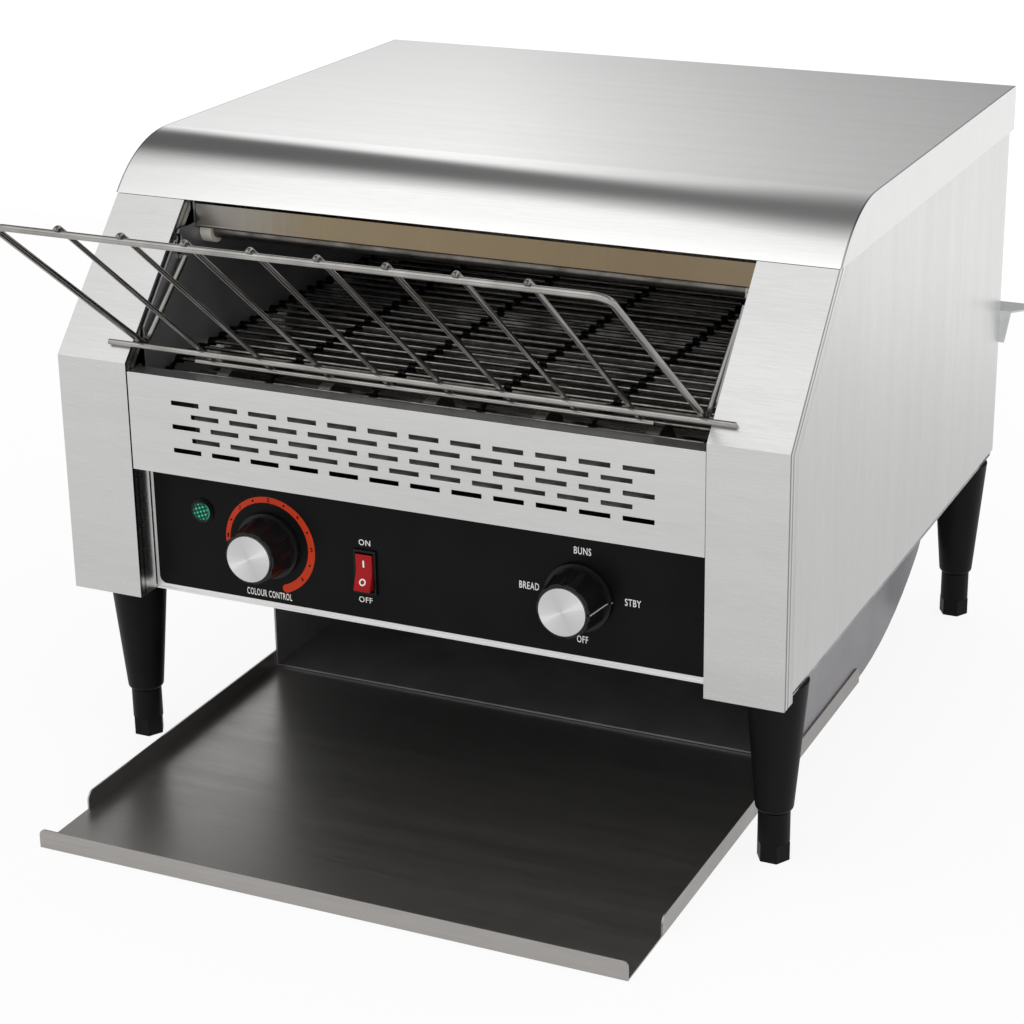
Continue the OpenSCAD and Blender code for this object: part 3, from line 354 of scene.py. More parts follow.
# %% Materials: tinted, dulled and zinc-coated sheet
TINT_HALF_M = 0.19
TINT_COLOURS = [
    (0.0, "#959390"),
    (0.16, "#918b82"),
    (0.26, "#8f8169"),
    (0.55, "#8a7a62"),
    (0.8, "#83745d"),
    (1.0, "#8a7c66"),
]
TINT_STREAK_MM, TINT_STREAK_SHARE = (1.2, 40, 40), 0.10
TINT_ROUGH = (0.24, 0.36)
CLOUD_MM, CLOUD_SPREAD = 35, 0.08
MATT_GRAIN_MM, MATT_DEPTH_MM = 2, 0.04
CRYSTAL_MM, CRYSTAL_ROUGH = 9, (0.38, 0.55)
UNIT = (0.0, 1.0)


def tinted_steel(name):
    """Stainless strip with heat tint: grey at the left, bronze from the middle to the right."""
    material, tree, shader = new_material(name)
    width = span((-TINT_HALF_M, TINT_HALF_M))
    along = add_node(tree, "MapRange", {"Value": object_axes(tree)["X"], **width})
    streaks = add_node(
        tree, "TexNoise", {"Vector": object_mm(tree, TINT_STREAK_MM), "Scale": 1.0, "Detail": 3.0}
    )
    blend = add_node(tree, "Mix", {"Factor": TINT_STREAK_SHARE, "A": along, "B": streaks})
    tints = [(place, linear(code)) for place, code in TINT_COLOURS]
    colour = add_node(tree, "ValToRGB", {"Fac": blend}, tints)
    shade = add_node(tree, "MapRange", {"Value": streaks, **span(UNIT, *TINT_ROUGH)})
    fill(shader, {"Base Color": colour, "Roughness": shade, "Metallic": 1.0})
    return material


def dulled_steel(name, light, dark, rough):
    """Heat-dulled sheet: slight clouding over a fine matt grain."""
    material, tree, shader = new_material(name)
    cloud = add_node(
        tree, "TexNoise", {"Vector": object_mm(tree, (CLOUD_MM,) * 3), "Scale": 1.0, "Detail": 4.0}
    )
    tone_and_sheen(shader, cloud, light, dark, rough - CLOUD_SPREAD, rough + CLOUD_SPREAD)
    cell = object_mm(tree, (MATT_GRAIN_MM,) * 3)
    grain = add_node(tree, "TexNoise", {"Vector": cell, "Scale": 1.0, "Detail": 2.0})
    dents = {"Height": grain, "Strength": 0.1, "Distance": MATT_DEPTH_MM * MM}
    bump = add_node(tree, "Bump", dents)
    fill(shader, {"Normal": bump, "Metallic": 0.8})
    return material


def zinc_steel(name, light, dark):
    """Hot-dip zinc: flat crystals in neighbouring greys."""
    material, tree, shader = new_material(name)
    cell = object_mm(tree, (CRYSTAL_MM,) * 3)
    crystal = add_node(tree, "TexVoronoi", {"Vector": cell, "Scale": 1.0})
    tone = add_node(tree, "SeparateColor", {"Color": crystal.outputs["Color"]}).outputs
    tones = [(0.0, linear(dark)), (1.0, linear(light))]
    colour = add_node(tree, "ValToRGB", {"Fac": tone["Red"]}, tones)
    shade = add_node(tree, "MapRange", {"Value": tone["Green"], **span(UNIT, *CRYSTAL_ROUGH)})
    fill(shader, {"Base Color": colour, "Roughness": shade, "Metallic": 1.0})
    return material


tint_steel = tinted_steel("stainless_430_heat_tinted")
chute_steel = dulled_steel("stainless_430_dulled_chute", "#a5a3a7", "#949296", 0.42)
wall_steel = dulled_steel("stainless_430_dulled_wall", "#9c9ca0", "#8c8c90", 0.40)
shield_steel = dulled_steel("stainless_430_dulled_shield", "#94918c", "#827f7a", 0.38)
pan_steel = zinc_steel("steel_zinc_coated", "#b9bcbd", "#a3a6a8")
bracket_steel = zinc_steel("steel_zinc_coated_bright", "#e9ebeb", "#dfe1e2")
print("heat-tinted, dulled and zinc-coated sheet made")

# %% [markdown]
# ## Wire, tubes, shafts and castings
#
# The rack is polished stainless wire, nearly a mirror, with faint drawing marks. The belt's rods
# are the same wire, browned by the heat but rubbed bright on top, and its links are blued black.
# The heating tubes are oxidised to a mottled grey. Noise at a few millimetres breaks up each of
# them.

# %% Materials: bare metals


def worn_metal(name, light, dark, rough, cell, metallic=1.0, spread=0.08):
    """Bare metal whose tone and roughness vary in patches of the given size in millimetres."""
    material, tree, shader = new_material(name)
    patch = add_node(
        tree,
        "TexNoise",
        {"Vector": object_mm(tree, cell), "Scale": 1.0, "Detail": 4.0, "Roughness": 0.6},
    )
    tone_and_sheen(shader, patch, light, dark, rough + spread, rough - spread)
    fill(shader, {"Metallic": metallic})
    return material


rack_wire = worn_metal(
    "stainless_304_polished_wire", "#b3b1ae", "#94918d", 0.16, (25, 25, 25), spread=0.04
)
belt_wire = worn_metal("stainless_304_rubbed_wire", "#93918e", "#5f5c59", 0.20, (6, 6, 6))
link_wire = worn_metal("stainless_304_blued_link", "#1c1b1b", "#0e0e0e", 0.34, (6, 6, 6))
tube_metal = worn_metal("incoloy_tube_oxidised", "#8e8a86", "#5d5955", 0.34, (14, 8, 8))
bright_sheet = worn_metal("aluminised_steel_bright", "#c9c7c3", "#a8a5a0", 0.22, (40, 40, 12))
turned_steel = worn_metal("steel_turned", "#8e8e8e", "#6c6c6c", 0.30, (1.2, 12, 12))
chain_metal = worn_metal("steel_oiled_chain", "#5c5c5e", "#3c3c3e", 0.34, (5, 5, 5))
bronze = worn_metal("bronze_sintered", "#b08850", "#8d6a3c", 0.42, (3, 3, 3))
motor_paint = worn_metal(
    "zinc_casting_grey_painted", "#6f7174", "#5c5e61", 0.45, (20, 20, 20), metallic=0.3
)
screw_zinc = worn_metal("steel_zinc_plated_screw", "#cfcfd2", "#a9a9ad", 0.26, (2, 2, 2))
print("wire, tube and shaft metals made")

# %% [markdown]
# ## Plastics, film and ceramic
#
# Legs, feet and switch frames are black polyamide straight from the mould: a very fine sparkle
# texture and a soft sheen. The control film is screen-printed polycarbonate, flatter and deeper
# black. Their sheen is set low, because a matt black mirrors very little of a white room.

# %% Materials: moulded and printed
GRIT_MM = 0.6
GRIT_DEPTH_MM = 0.03
SMOOTH_DEPTH_MM = 0.004
SHEEN_CLOUD_MM = 30


def moulded(name, light, dark, rough, shine, ior=1.5, grit_mm=GRIT_MM, depth_mm=GRIT_DEPTH_MM):
    """Moulded plastic: fine spark-eroded grit, and a little variation in sheen."""
    material, tree, shader = new_material(name)
    grit = add_node(
        tree, "TexNoise", {"Vector": object_mm(tree, (grit_mm,) * 3), "Scale": 1.0, "Detail": 2.0}
    )
    cell = object_mm(tree, (SHEEN_CLOUD_MM,) * 3)
    cloud = add_node(tree, "TexNoise", {"Vector": cell, "Scale": 1.0, "Detail": 3.0})
    tone_and_sheen(shader, cloud, light, dark, rough - CLOUD_SPREAD, rough + CLOUD_SPREAD)
    bump = add_node(tree, "Bump", {"Height": grit, "Strength": 0.25, "Distance": depth_mm * MM})
    fill(shader, {"Normal": bump, "IOR": ior, "Specular IOR Level": shine})
    return material


film_black = moulded(
    "polycarbonate_film_printed", "#141415", "#101011", 0.30, 0.06, 1.58, 1.2, SMOOTH_DEPTH_MM
)
leg_black = moulded("polyamide_moulded_leg", "#121213", "#0c0c0d", 0.42, 0.12)
foot_black = moulded("polyamide_moulded_foot", "#111112", "#0b0b0c", 0.46, 0.12)
frame_black = moulded("polyamide_moulded_frame", "#131314", "#0d0d0e", 0.35, 0.2)
knob_black = moulded(
    "phenolic_moulded_knob", "#161617", "#0f0f10", 0.36, 0.24, 1.6, 0.8, SMOOTH_DEPTH_MM
)
rocker_red = moulded(
    "polycarbonate_moulded_red", "#ac1318", "#980f14", 0.28, 0.14, 1.58, depth_mm=SMOOTH_DEPTH_MM
)
ivory = moulded("polyamide_moulded_ivory", "#e6e1d2", "#d6d0bf", 0.45, 0.5)
board_green = moulded("board_solder_masked", "#1d6b3a", "#14522b", 0.35, 0.5)
steatite = moulded("steatite_fired", "#e9e6dc", "#d6d2c6", 0.40, 0.5, ior=1.55)


def ink(name, light, dark, shine):
    """Screen-printed ink, as smooth as the film under it."""
    return moulded(
        "ink_screen_printed_" + name, light, dark, 0.5, shine, depth_mm=SMOOTH_DEPTH_MM
    )


white_ink = ink("white", "#f4f4f2", "#ebebe9", 0.2)
orange_ink = ink("orange", "#cc3a16", "#c23412", 0.2)
black_ink = ink("black", "#161310", "#100e0c", 0.1)
print("plastics, ceramic and inks made")

# %% [markdown]
# ## Turned caps
#
# Each knob carries a thin aluminium disc that was faced on a lathe. The tool leaves rings too fine
# to see singly, but they spread a reflection across the rings, so light gathers in a fan through
# the centre. The shader does that with anisotropy, which needs to know the direction from the
# disc's centre at every point. In an even white room the fan would still be lost, so a painted
# highlight lightens the metal's colour along it. Each cap gets its own material, with its own
# centre.

# %% Material: turned aluminium cap
PAINTED_FAN_ANGLE = 28.0
PAINTED_FAN_HIGHLIGHT_TONES = [(0.0, 0.63), (0.75, 0.69), (0.97, 0.76), (1.0, 0.88)]
RING_MM = 0.5
WAVE = (-1.0, 1.0)
GROOVE_TONES = (0.95, 1.0)
GROOVE_ROUGH = (0.26, 0.32)


def from_axis(tree, centre):
    """Vector to the shaded point from the Y axis through a centre, and its length, in metres."""
    place = add_node(tree, "TexCoord")
    ends = {0: place.outputs["Object"], 1: tuple(centre)}
    arm = add_node(tree, "VectorMath", ends, operation="SUBTRACT")
    flat = add_node(tree, "VectorMath", {0: arm, 1: (1.0, 0.0, 1.0)}, operation="MULTIPLY")
    return flat, add_node(tree, "VectorMath", {0: flat}, operation="LENGTH")


def turned_cap(name, centre):
    """Aluminium disc faced on a lathe: rings drawn coarser than the real 0.05 mm."""
    material, tree, shader = new_material(name)
    flat, radius = from_axis(tree, centre)
    pitch = 2.0 * math.pi / (RING_MM * MM)
    turn = add_node(tree, "Math", {0: radius, 1: pitch}, operation="MULTIPLY")
    ring = add_node(tree, "Math", {0: turn}, operation="SINE")
    # Painted highlight: the metal's colour rises along a fixed fan through the centre.
    along = add_node(tree, "VectorMath", {0: flat}, operation="NORMALIZE")
    fan = math.radians(PAINTED_FAN_ANGLE)
    ends = {0: along, 1: (math.cos(fan), 0.0, math.sin(fan))}
    facing = add_node(tree, "VectorMath", ends, operation="DOT_PRODUCT")
    turned = add_node(tree, "Math", {0: facing}, operation="ABSOLUTE")
    streak = add_node(tree, "ValToRGB", {"Fac": turned}, greys(PAINTED_FAN_HIGHLIGHT_TONES))
    groove = add_node(tree, "MapRange", {"Value": ring, **span(WAVE, *GROOVE_TONES)})
    tone = add_node(tree, "Math", {0: streak, 1: groove}, operation="MULTIPLY")
    shade = add_node(tree, "MapRange", {"Value": ring, **span(WAVE, *GROOVE_ROUGH)})
    fill(shader, {"Base Color": tone, "Roughness": shade, "Tangent": flat})
    fill(shader, {"Metallic": 1.0, "Anisotropic": 0.8})
    return material


def middle(name):
    """Middle of a node's box at rest."""
    low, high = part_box(name)
    return (Vector(low) + Vector(high)) / 2


cap_steels = {
    name: turned_cap("aluminium_turned_" + name, middle(name))
    for name in ("speed_knob_cap", "selector_knob_cap")
}
print("caps at", {name: [round(v, 4) for v in middle(name)] for name in cap_steels})

# %% [markdown]
# ## The lamp's lens
#
# The lens is dark green acrylic with small pyramids moulded on its inside, about 2.5 mm apart,
# painted as bright dots where they catch the light. Towards the rim the pyramids stop and the
# thick dome goes dark, apart from a painted highlight, a bright crescent on the right of the rim.
# A regular Voronoi grid gives the dots, and the distance from the lens's axis decides where
# they end.

# %% Material: green lens
PYRAMID_MM = 2.5
PYRAMID_TURN = 0.35
PYRAMID_DOT_HIGHLIGHT_COLOURS = [(0.0, "#4fe3bb"), (0.26, "#22ad88"), (0.38, "#063429")]
PYRAMIDS_END = (0.74, 0.82)
PAINTED_CRESCENT_HIGHLIGHT = [(0.82, 0.0), (0.86, 1.0), (0.92, 1.0), (0.97, 0.0)]
PAINTED_CRESCENT_SIDE = (0.35, 0.8)
DOME_GREEN, PAINTED_CRESCENT_GREEN = "#031a15", "#2aa37e"


def green_lens(name, centre, radius):
    """Green acrylic: painted bright dots, a dark dome round them, a painted crescent highlight."""
    material, tree, shader = new_material(name)
    flat, reach = from_axis(tree, centre)
    size = {"Scale": (1.0 / (PYRAMID_MM * MM),) * 3, "Rotation": (0.0, PYRAMID_TURN, 0.0)}
    grid = add_node(tree, "Mapping", {"Vector": flat, **size})
    dots = add_node(tree, "TexVoronoi", {"Vector": grid, "Scale": 1.0, "Randomness": 0.0})
    # The dots are the real pyramid pattern, painted bright where they catch the light.
    greens = [(place, linear(code)) for place, code in PYRAMID_DOT_HIGHLIGHT_COLOURS]
    bright = add_node(tree, "ValToRGB", {"Fac": dots}, greens)
    share = add_node(tree, "Math", {0: reach, 1: radius}, operation="DIVIDE")
    inside = add_node(tree, "MapRange", {"Value": share, **span(PYRAMIDS_END, 1.0, 0.0)})
    dome = {0: inside, 6: linear(DOME_GREEN), 7: bright}
    body = add_node(tree, "Mix", dome, data_type="RGBA")
    side = add_node(tree, "SeparateXYZ", {"Vector": flat})
    # Painted highlight: a bright crescent on the right of the rim.
    ends = span([place * radius for place in PAINTED_CRESCENT_SIDE])
    right = add_node(tree, "MapRange", {"Value": side.outputs["X"], **ends})
    painted_crescent = add_node(tree, "ValToRGB", {"Fac": share}, greys(PAINTED_CRESCENT_HIGHLIGHT))
    glow = add_node(tree, "Math", {0: painted_crescent, 1: right}, operation="MULTIPLY")
    lit = {0: glow, 6: body, 7: linear(PAINTED_CRESCENT_GREEN)}
    colour = add_node(tree, "Mix", lit, data_type="RGBA")
    fill(shader, {"Base Color": colour, "Roughness": 0.18, "IOR": 1.49})
    fill(shader, {"Specular IOR Level": 0.25})
    return material


lens_low, lens_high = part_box("lamp_lens")
lens_radius = (lens_high[0] - lens_low[0]) / 2
lamp_green = green_lens("acrylic_moulded_green_lens", middle("lamp_lens"), lens_radius)
print("lens radius", round(lens_radius / MM, 2), "mm")

# %% [markdown]
# ## Finishes onto pieces
#
# Every CAD node keeps its mesh and gets one finish. The table gives, for each finish, the nodes
# that are made of it, and is then turned round, to be read by node name. A node that was forgotten
# stops the script at once.

# %% Give every CAD node its finish
FINISH_NODES = [
    (hood_steel, "hood"),
    (side_steel, "left_side_panel right_side_panel"),
    (folded_steel, "left_front_post right_front_post"),
    (panel_steel, "vent_panel"),
    (lip_steel, "control_panel"),
    (back_steel, "back_panel"),
    (pan_steel, "base_pan inner_partition"),
    (bracket_steel, "rear_brackets"),
    (film_black, "control_overlay"),
    (tint_steel, "upper_baffle"),
    (wall_steel, "left_inner_wall right_inner_wall"),
    (shield_steel, "heat_shield"),
    (chute_steel, "toast_chute"),
    (bright_sheet, "upper_reflector lower_reflector"),
    (tube_metal, "upper_heating_tubes lower_heating_tubes"),
    (steatite, "tube_holders"),
    (belt_wire, "belt_rods"),
    (link_wire, "belt_links"),
    (bronze, "shaft_bushes"),
    (motor_paint, "gear_motor"),
    (chain_metal, "drive_chain driven_chain_wheel motor_chain_wheel"),
    (board_green, "speed_potentiometer speed_control_board"),
    (ivory, "selector_switch terminal_block"),
    (frame_black, "lamp_bezel switch_bezel cable_gland"),
    (lamp_green, "lamp_lens"),
    (screw_zinc, "panel_screws"),
    (rack_wire, "loading_rack"),
    (tray_steel, "toast_tray"),
    (knob_black, "speed_knob selector_knob"),
    (rocker_red, "power_rocker"),
    (turned_steel, "drive_shaft front_shaft belt_wheels front_rollers"),
]
FINISHES = {name: finish for finish, names in FINISH_NODES for name in names.split()}
FINISHES.update(cap_steels)
for name in nodes:
    if name.endswith("_leg"):
        FINISHES[name] = leg_black
    if name.endswith("_foot"):
        FINISHES[name] = foot_black

for name, node in nodes.items():
    if not node.data.materials:
        node.data.materials.append(FINISHES[name])
    for slot in node.material_slots:
        slot.material = FINISHES[name]
print("finishes given to", len(nodes), "nodes")

# %% [markdown]
# ## Softened edges
#
# No real edge is perfectly sharp. A folded sheet has a small outside radius, and a moulding has a
# broken corner, and both catch a thin line of light. A Bevel modifier adds that radius without
# touching the CAD mesh. The imported mesh is made of triangles, so flat areas are merged first.
# Afterwards the large faces set the shading normals, so the narrow rounded strips never bend a wide
# sheet's mirror image. The knobs' flutes are shallow, so there a smaller angle counts as an edge.

# %% Edges
EDGE_RADIUS_MM = {
    0.5: "hood switch_bezel",
    0.4: "left_front_post right_front_post vent_panel upper_baffle power_rocker",
    0.35: "left_side_panel right_side_panel",
    0.3: "speed_knob_cap selector_knob_cap",
}
KNOB_EDGE_MM = 0.4
EDGE_ANGLE = 30.0
FLUTE_ANGLE = 18.0
FLAT_ANGLE = 0.5
SAME_POINT_MM = 0.001


def soften(node, width_mm, angle):
    """Rounds a node's edges that are sharper than the angle; large faces set the shading."""
    merge = node.modifiers.new("merge_flat", "WELD")
    merge.merge_threshold = SAME_POINT_MM * MM
    flat = node.modifiers.new("flat_areas", "DECIMATE")
    flat.decimate_type = "DISSOLVE"
    flat.angle_limit = math.radians(FLAT_ANGLE)
    bevel = node.modifiers.new("edge_radius", "BEVEL")
    bevel.width = width_mm * MM
    bevel.segments = 2
    bevel.limit_method = "ANGLE"
    bevel.angle_limit = math.radians(angle)
    shading = node.modifiers.new("large_faces_lead", "WEIGHTED_NORMAL")
    shading.mode = "FACE_AREA"


for width_mm, names in EDGE_RADIUS_MM.items():
    for name in names.split():
        soften(nodes[name], width_mm, EDGE_ANGLE)
for name in ("speed_knob", "selector_knob"):
    soften(nodes[name], KNOB_EDGE_MM, FLUTE_ANGLE)
print("edges softened on", sum(len(node.modifiers) > 0 for node in nodes.values()), "pieces")

# %% [markdown]
# ## Print on the control film
#
# The film is printed before it is glued on. Its words are plain control legends in a narrow
# grotesque. Blender's own typeface is set as a curve, turned into a mesh and stretched to the
# legend's real width and height, which narrows it in the same way. A small offset thickens the
# strokes. The print lies 0.04 mm proud of the film, so that it never flickers against it.

# %% Helpers for printed pieces
FILM_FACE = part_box("control_overlay")[0][1]
INK_STEP = 0.04 * MM


def finished_mesh(name, work):
    """Mesh from a bmesh, which is then freed."""
    mesh = bpy.data.meshes.new(name)
    work.to_mesh(mesh)
    work.free()
    return mesh


def printed_piece(name, mesh, material, body="housing"):
    """Makes a piece from a mesh: it rides a body and takes its finish from a slot."""
    mesh.materials.clear()
    mesh.materials.append(material)
    piece = bpy.data.objects.new(name, mesh)
    bpy.context.scene.collection.objects.link(piece)
    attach(piece, body)
    return piece


# %% [markdown]
# ## The legends
#
# Each legend is a row of the table: its words, its width and height, the place of its middle
# across and up the panel, all in millimetres, and how much its strokes are thickened. The two
# words at the rocker are printed a little smaller and thinner than the ones at the knobs.

# %% Legends
LEGENDS = [
    ("legend_colour_control", "COLOUR CONTROL", 31.5, 4.5, -104.2, 123.9, 0.012),
    ("legend_buns", "BUNS", 10.8, 4.5, 104.4, 184.8, 0.012),
    ("legend_bread", "BREAD", 12.6, 4.5, 70.6, 158.0, 0.012),
    ("legend_standby", "STBY", 10.0, 4.5, 135.6, 157.6, 0.012),
    ("legend_selector_off", "OFF", 7.0, 4.5, 104.1, 129.7, 0.012),
    ("legend_on", "ON", 7.8, 3.7, -37.0, 168.0, 0.006),
    ("legend_off", "OFF", 9.1, 3.7, -37.5, 131.0, 0.006),
]
LETTER_SPACING = 1.1


def legend_mesh(name, words, width_mm, height_mm, x_mm, z_mm, weight, face):
    """Words as a flat mesh that faces -Y, stretched to a width and height about a middle."""
    curve = bpy.data.curves.new(name + "_curve", "FONT")
    curve.body = words
    curve.size = 1.0
    curve.offset = weight
    curve.space_character = LETTER_SPACING
    curve.resolution_u = 3
    setting = bpy.data.objects.new(name + "_setting", curve)
    bpy.context.scene.collection.objects.link(setting)
    bpy.context.view_layer.update()
    graph = bpy.context.evaluated_depsgraph_get()
    mesh = bpy.data.meshes.new_from_object(setting.evaluated_get(graph))
    bpy.data.objects.remove(setting)
    bpy.data.curves.remove(curve)
    xs = [v.co.x for v in mesh.vertices]
    ys = [v.co.y for v in mesh.vertices]
    for vertex in mesh.vertices:
        across = (vertex.co.x - (min(xs) + max(xs)) / 2) / (max(xs) - min(xs))
        up = (vertex.co.y - (min(ys) + max(ys)) / 2) / (max(ys) - min(ys))
        vertex.co = ((x_mm + across * width_mm) * MM, face, (z_mm + up * height_mm) * MM)
    mesh.name = name
    return mesh


for name, *setting in LEGENDS:
    printed_piece(name, legend_mesh(name, *setting, FILM_FACE - INK_STEP), white_ink)
print("legends printed:", len(LEGENDS))

# %% [markdown]
# ## The speed dial's scale
#
# Round the left knob runs an orange band that widens clockwise, from a point at nine o'clock to a
# round end at the lower right, with the numbers 1 to 6 in black and a dot halfway between each
# pair. The band is built as one strip of quads between two radii that both follow the angle. That
# is simpler and cleaner than cutting a ring with booleans.

# %% Dial band
DIAL_MM = (-102.4, 156.5)
BAND_RADIUS_MM = 29.0
BAND_FROM, BAND_TO = 180.0, -69.0
BAND_POINT = 4.5
BAND_WIDTH_MM = (3.0, 5.3)
BAND_STEPS = 96
ROUND_STEPS = 12


def on_dial(radius_mm, angle, step=INK_STEP):
    """Point on the film at a radius and an angle in degrees round the speed dial's axis."""
    turn = math.radians(angle)
    x_mm = DIAL_MM[0] + radius_mm * math.cos(turn)
    z_mm = DIAL_MM[1] + radius_mm * math.sin(turn)
    return Vector((x_mm * MM, FILM_FACE - step, z_mm * MM))


def band_mesh(name):
    """Widening arc with a pointed start and a round end."""
    work = bmesh.new()
    inner, outer = [], []
    for index in range(BAND_STEPS + 1):
        share = index / BAND_STEPS
        angle = BAND_FROM + (BAND_TO - BAND_FROM) * share
        half = (BAND_WIDTH_MM[0] + (BAND_WIDTH_MM[1] - BAND_WIDTH_MM[0]) * share) / 2
        inner.append(work.verts.new(on_dial(BAND_RADIUS_MM - half, angle)))
        outer.append(work.verts.new(on_dial(BAND_RADIUS_MM + half, angle)))
    for index in range(BAND_STEPS):
        work.faces.new((outer[index], inner[index], inner[index + 1], outer[index + 1]))
    tip = work.verts.new(on_dial(BAND_RADIUS_MM + BAND_WIDTH_MM[0] / 2, BAND_FROM + BAND_POINT))
    work.faces.new((tip, inner[0], outer[0]))
    cap = [outer[-1]]
    half = BAND_WIDTH_MM[1] / 2
    centre = on_dial(BAND_RADIUS_MM, BAND_TO)
    for index in range(1, ROUND_STEPS):
        turn = math.radians(BAND_TO - 180.0 * index / ROUND_STEPS)
        offset = Vector((math.cos(turn), 0.0, math.sin(turn))) * half * MM
        cap.append(work.verts.new(centre + offset))
    cap.append(inner[-1])
    work.faces.new(cap)
    bmesh.ops.recalc_face_normals(work, faces=work.faces)
    if work.faces[0].normal.y > 0:
        bmesh.ops.reverse_faces(work, faces=work.faces)
    return finished_mesh(name, work)


printed_piece("dial_band", band_mesh("dial_band"), orange_ink)
print("dial band from", BAND_FROM, "to", BAND_TO, "degrees")

# %% [markdown]
# ## Numbers and dots on the dial
#
# The numbers are set upright, as on most dials, and not turned with the band, so they are made by
# the same function as the legends. They lie one step of ink above the band. The dots are plain
# discs, and the same function can leave a hole in a disc, which the rocker's ring needs later.

# %% Dial numbers and dots
NUMBERS = 6
NUMBER_FROM = 176.0
NUMBER_STEP = 43.4
NUMBER_WIDTHS_MM = [1.2] + [1.7] * (NUMBERS - 1)
NUMBER_HEIGHT_MM = 2.7
NUMBER_WEIGHT = 0.025
DOT_RADIUS_MM = 0.75
RIGHT = Vector((1, 0, 0))
UP = Vector((0, 0, 1))


def disc_mesh(name, centre, radius_mm, inner_mm=0.0, up=UP, sides=20):
    """Flat disc or ring through a centre, spanned by X and the given up direction."""
    work = bmesh.new()
    rings = []
    for radius in (radius_mm, inner_mm):
        ring = []
        for index in range(sides if radius else 1):
            turn = 2.0 * math.pi * index / sides
            way = RIGHT * math.cos(turn) + up * math.sin(turn)
            ring.append(work.verts.new(centre + way * radius * MM))
        rings.append(ring)
    outer, inner = rings
    for index in range(sides):
        after = (index + 1) % sides
        across = (inner[after], inner[index]) if inner_mm else (inner[0],)
        work.faces.new((outer[index], outer[after]) + across)
    return finished_mesh(name, work)


for index, width_mm in enumerate(NUMBER_WIDTHS_MM):
    name = "dial_number_%d" % (index + 1)
    angle = NUMBER_FROM - NUMBER_STEP * index
    place = on_dial(BAND_RADIUS_MM, angle) / MM
    size = (width_mm, NUMBER_HEIGHT_MM, place.x, place.z, NUMBER_WEIGHT)
    number = legend_mesh(name, str(index + 1), *size, FILM_FACE - 2 * INK_STEP)
    printed_piece(name, number, black_ink)
    if index < NUMBERS - 1:
        name = "dial_dot_%d" % (index + 1)
        centre = on_dial(BAND_RADIUS_MM, angle - NUMBER_STEP / 2, 2 * INK_STEP)
        printed_piece(name, disc_mesh(name, centre, DOT_RADIUS_MM), black_ink)
print("dial numbers 1 to 6 every", NUMBER_STEP, "degrees")

# %% [markdown]
# ## Pointers on the knobs
#
# A white line runs from each cap over the knob's front ring, back down one rib and out across the
# skirt to its edge. It is paint in a shallow groove. A narrow strip that follows those four
# surfaces is enough, and it rides with its dial, so it turns when the knob is turned. Depths are
# counted from the front of the posts.

# %% Knob pointers
POINTER_MM = [(14.7, -6.1), (16.65, -6.1), (19.15, 14.4), (20.95, 14.4), (21.1, 16.8)]
POINTER_WIDTH_MM = 0.9
PAINT_MM = 0.1


def pointer_mesh(name, axis_mm, side):
    """Strip along (radius, depth) points in the horizontal plane through a knob's axis."""
    work = bmesh.new()
    rows = []
    for radius_mm, depth_mm in POINTER_MM:
        point = Vector((axis_mm.x + side * radius_mm, depth_mm + POST_FRONT_MM, axis_mm.z)) * MM
        half = UP * (POINTER_WIDTH_MM / 2 * MM)
        rows.append((work.verts.new(point - half), work.verts.new(point + half)))
    for first, second in zip(rows, rows[1:]):
        work.faces.new((first[0], second[0], second[1], first[1]))
    bmesh.ops.solidify(work, geom=work.faces[:], thickness=PAINT_MM * MM)
    bmesh.ops.recalc_face_normals(work, faces=work.faces)
    return finished_mesh(name, work)


for dial, side in (("speed", -1), ("selector", 1)):
    pointer = pointer_mesh(dial + "_pointer", middle(dial + "_knob_cap") / MM, side)
    printed_piece(dial + "_pointer", pointer, white_ink, dial + "_dial")
    print(dial, "pointer on side", side)

# %% [markdown]
# ## Marks on the rocker
#
# The rocker carries the two marks that every mains switch has: a bar on the half that switches on,
# and a ring on the half that switches off. Each lies on its own half of the bent face and rides
# with the rocker. The lower half leans out of the frame, so the ring is spanned by a leaning up
# direction.

# %% Rocker marks
ROCKER_PIVOT_MM = Vector((-36.6, 17.0 + POST_FRONT_MM, 149.5))
BAR_PLACE_MM = Vector((0.0, -2.06, 6.0))
RING_PLACE_MM = Vector((0.0, -3.99, -5.1))
LOWER_OUT = Vector((0.0, -0.938, 0.347))
LOWER_UP = Vector((0.0, 0.347, 0.938))
MARK_STEP_MM = 0.06
BAR_SIZE_MM = (1.1, 4.6)
RING_RADII_MM = (2.2, 1.35)


def bar_mesh(name, centre, width_mm, height_mm):
    """Upright bar with rounded ends that faces -Y."""
    work = bmesh.new()
    radius = width_mm / 2
    ends = []
    for start, level in ((0.0, height_mm / 2 - radius), (180.0, radius - height_mm / 2)):
        for index in range(7):
            turn = math.radians(start + 30.0 * index)
            way = Vector((math.cos(turn) * radius, 0.0, level + math.sin(turn) * radius))
            ends.append(centre + way * MM)
    work.faces.new([work.verts.new(point) for point in ends])
    return finished_mesh(name, work)


bar_centre = (ROCKER_PIVOT_MM + BAR_PLACE_MM) * MM
ring_centre = (ROCKER_PIVOT_MM + RING_PLACE_MM + LOWER_OUT * MARK_STEP_MM) * MM
mark_on = bar_mesh("mark_on", bar_centre, *BAR_SIZE_MM)
mark_off = disc_mesh("mark_off", ring_centre, *RING_RADII_MM, LOWER_UP, 32)
printed_piece("mark_on", mark_on, white_ink, "rocker")
printed_piece("mark_off", mark_off, white_ink, "rocker")
for mark, centre in (("bar", bar_centre), ("ring", ring_centre)):
    print("rocker", mark, "at", [round(v / MM, 1) for v in centre])
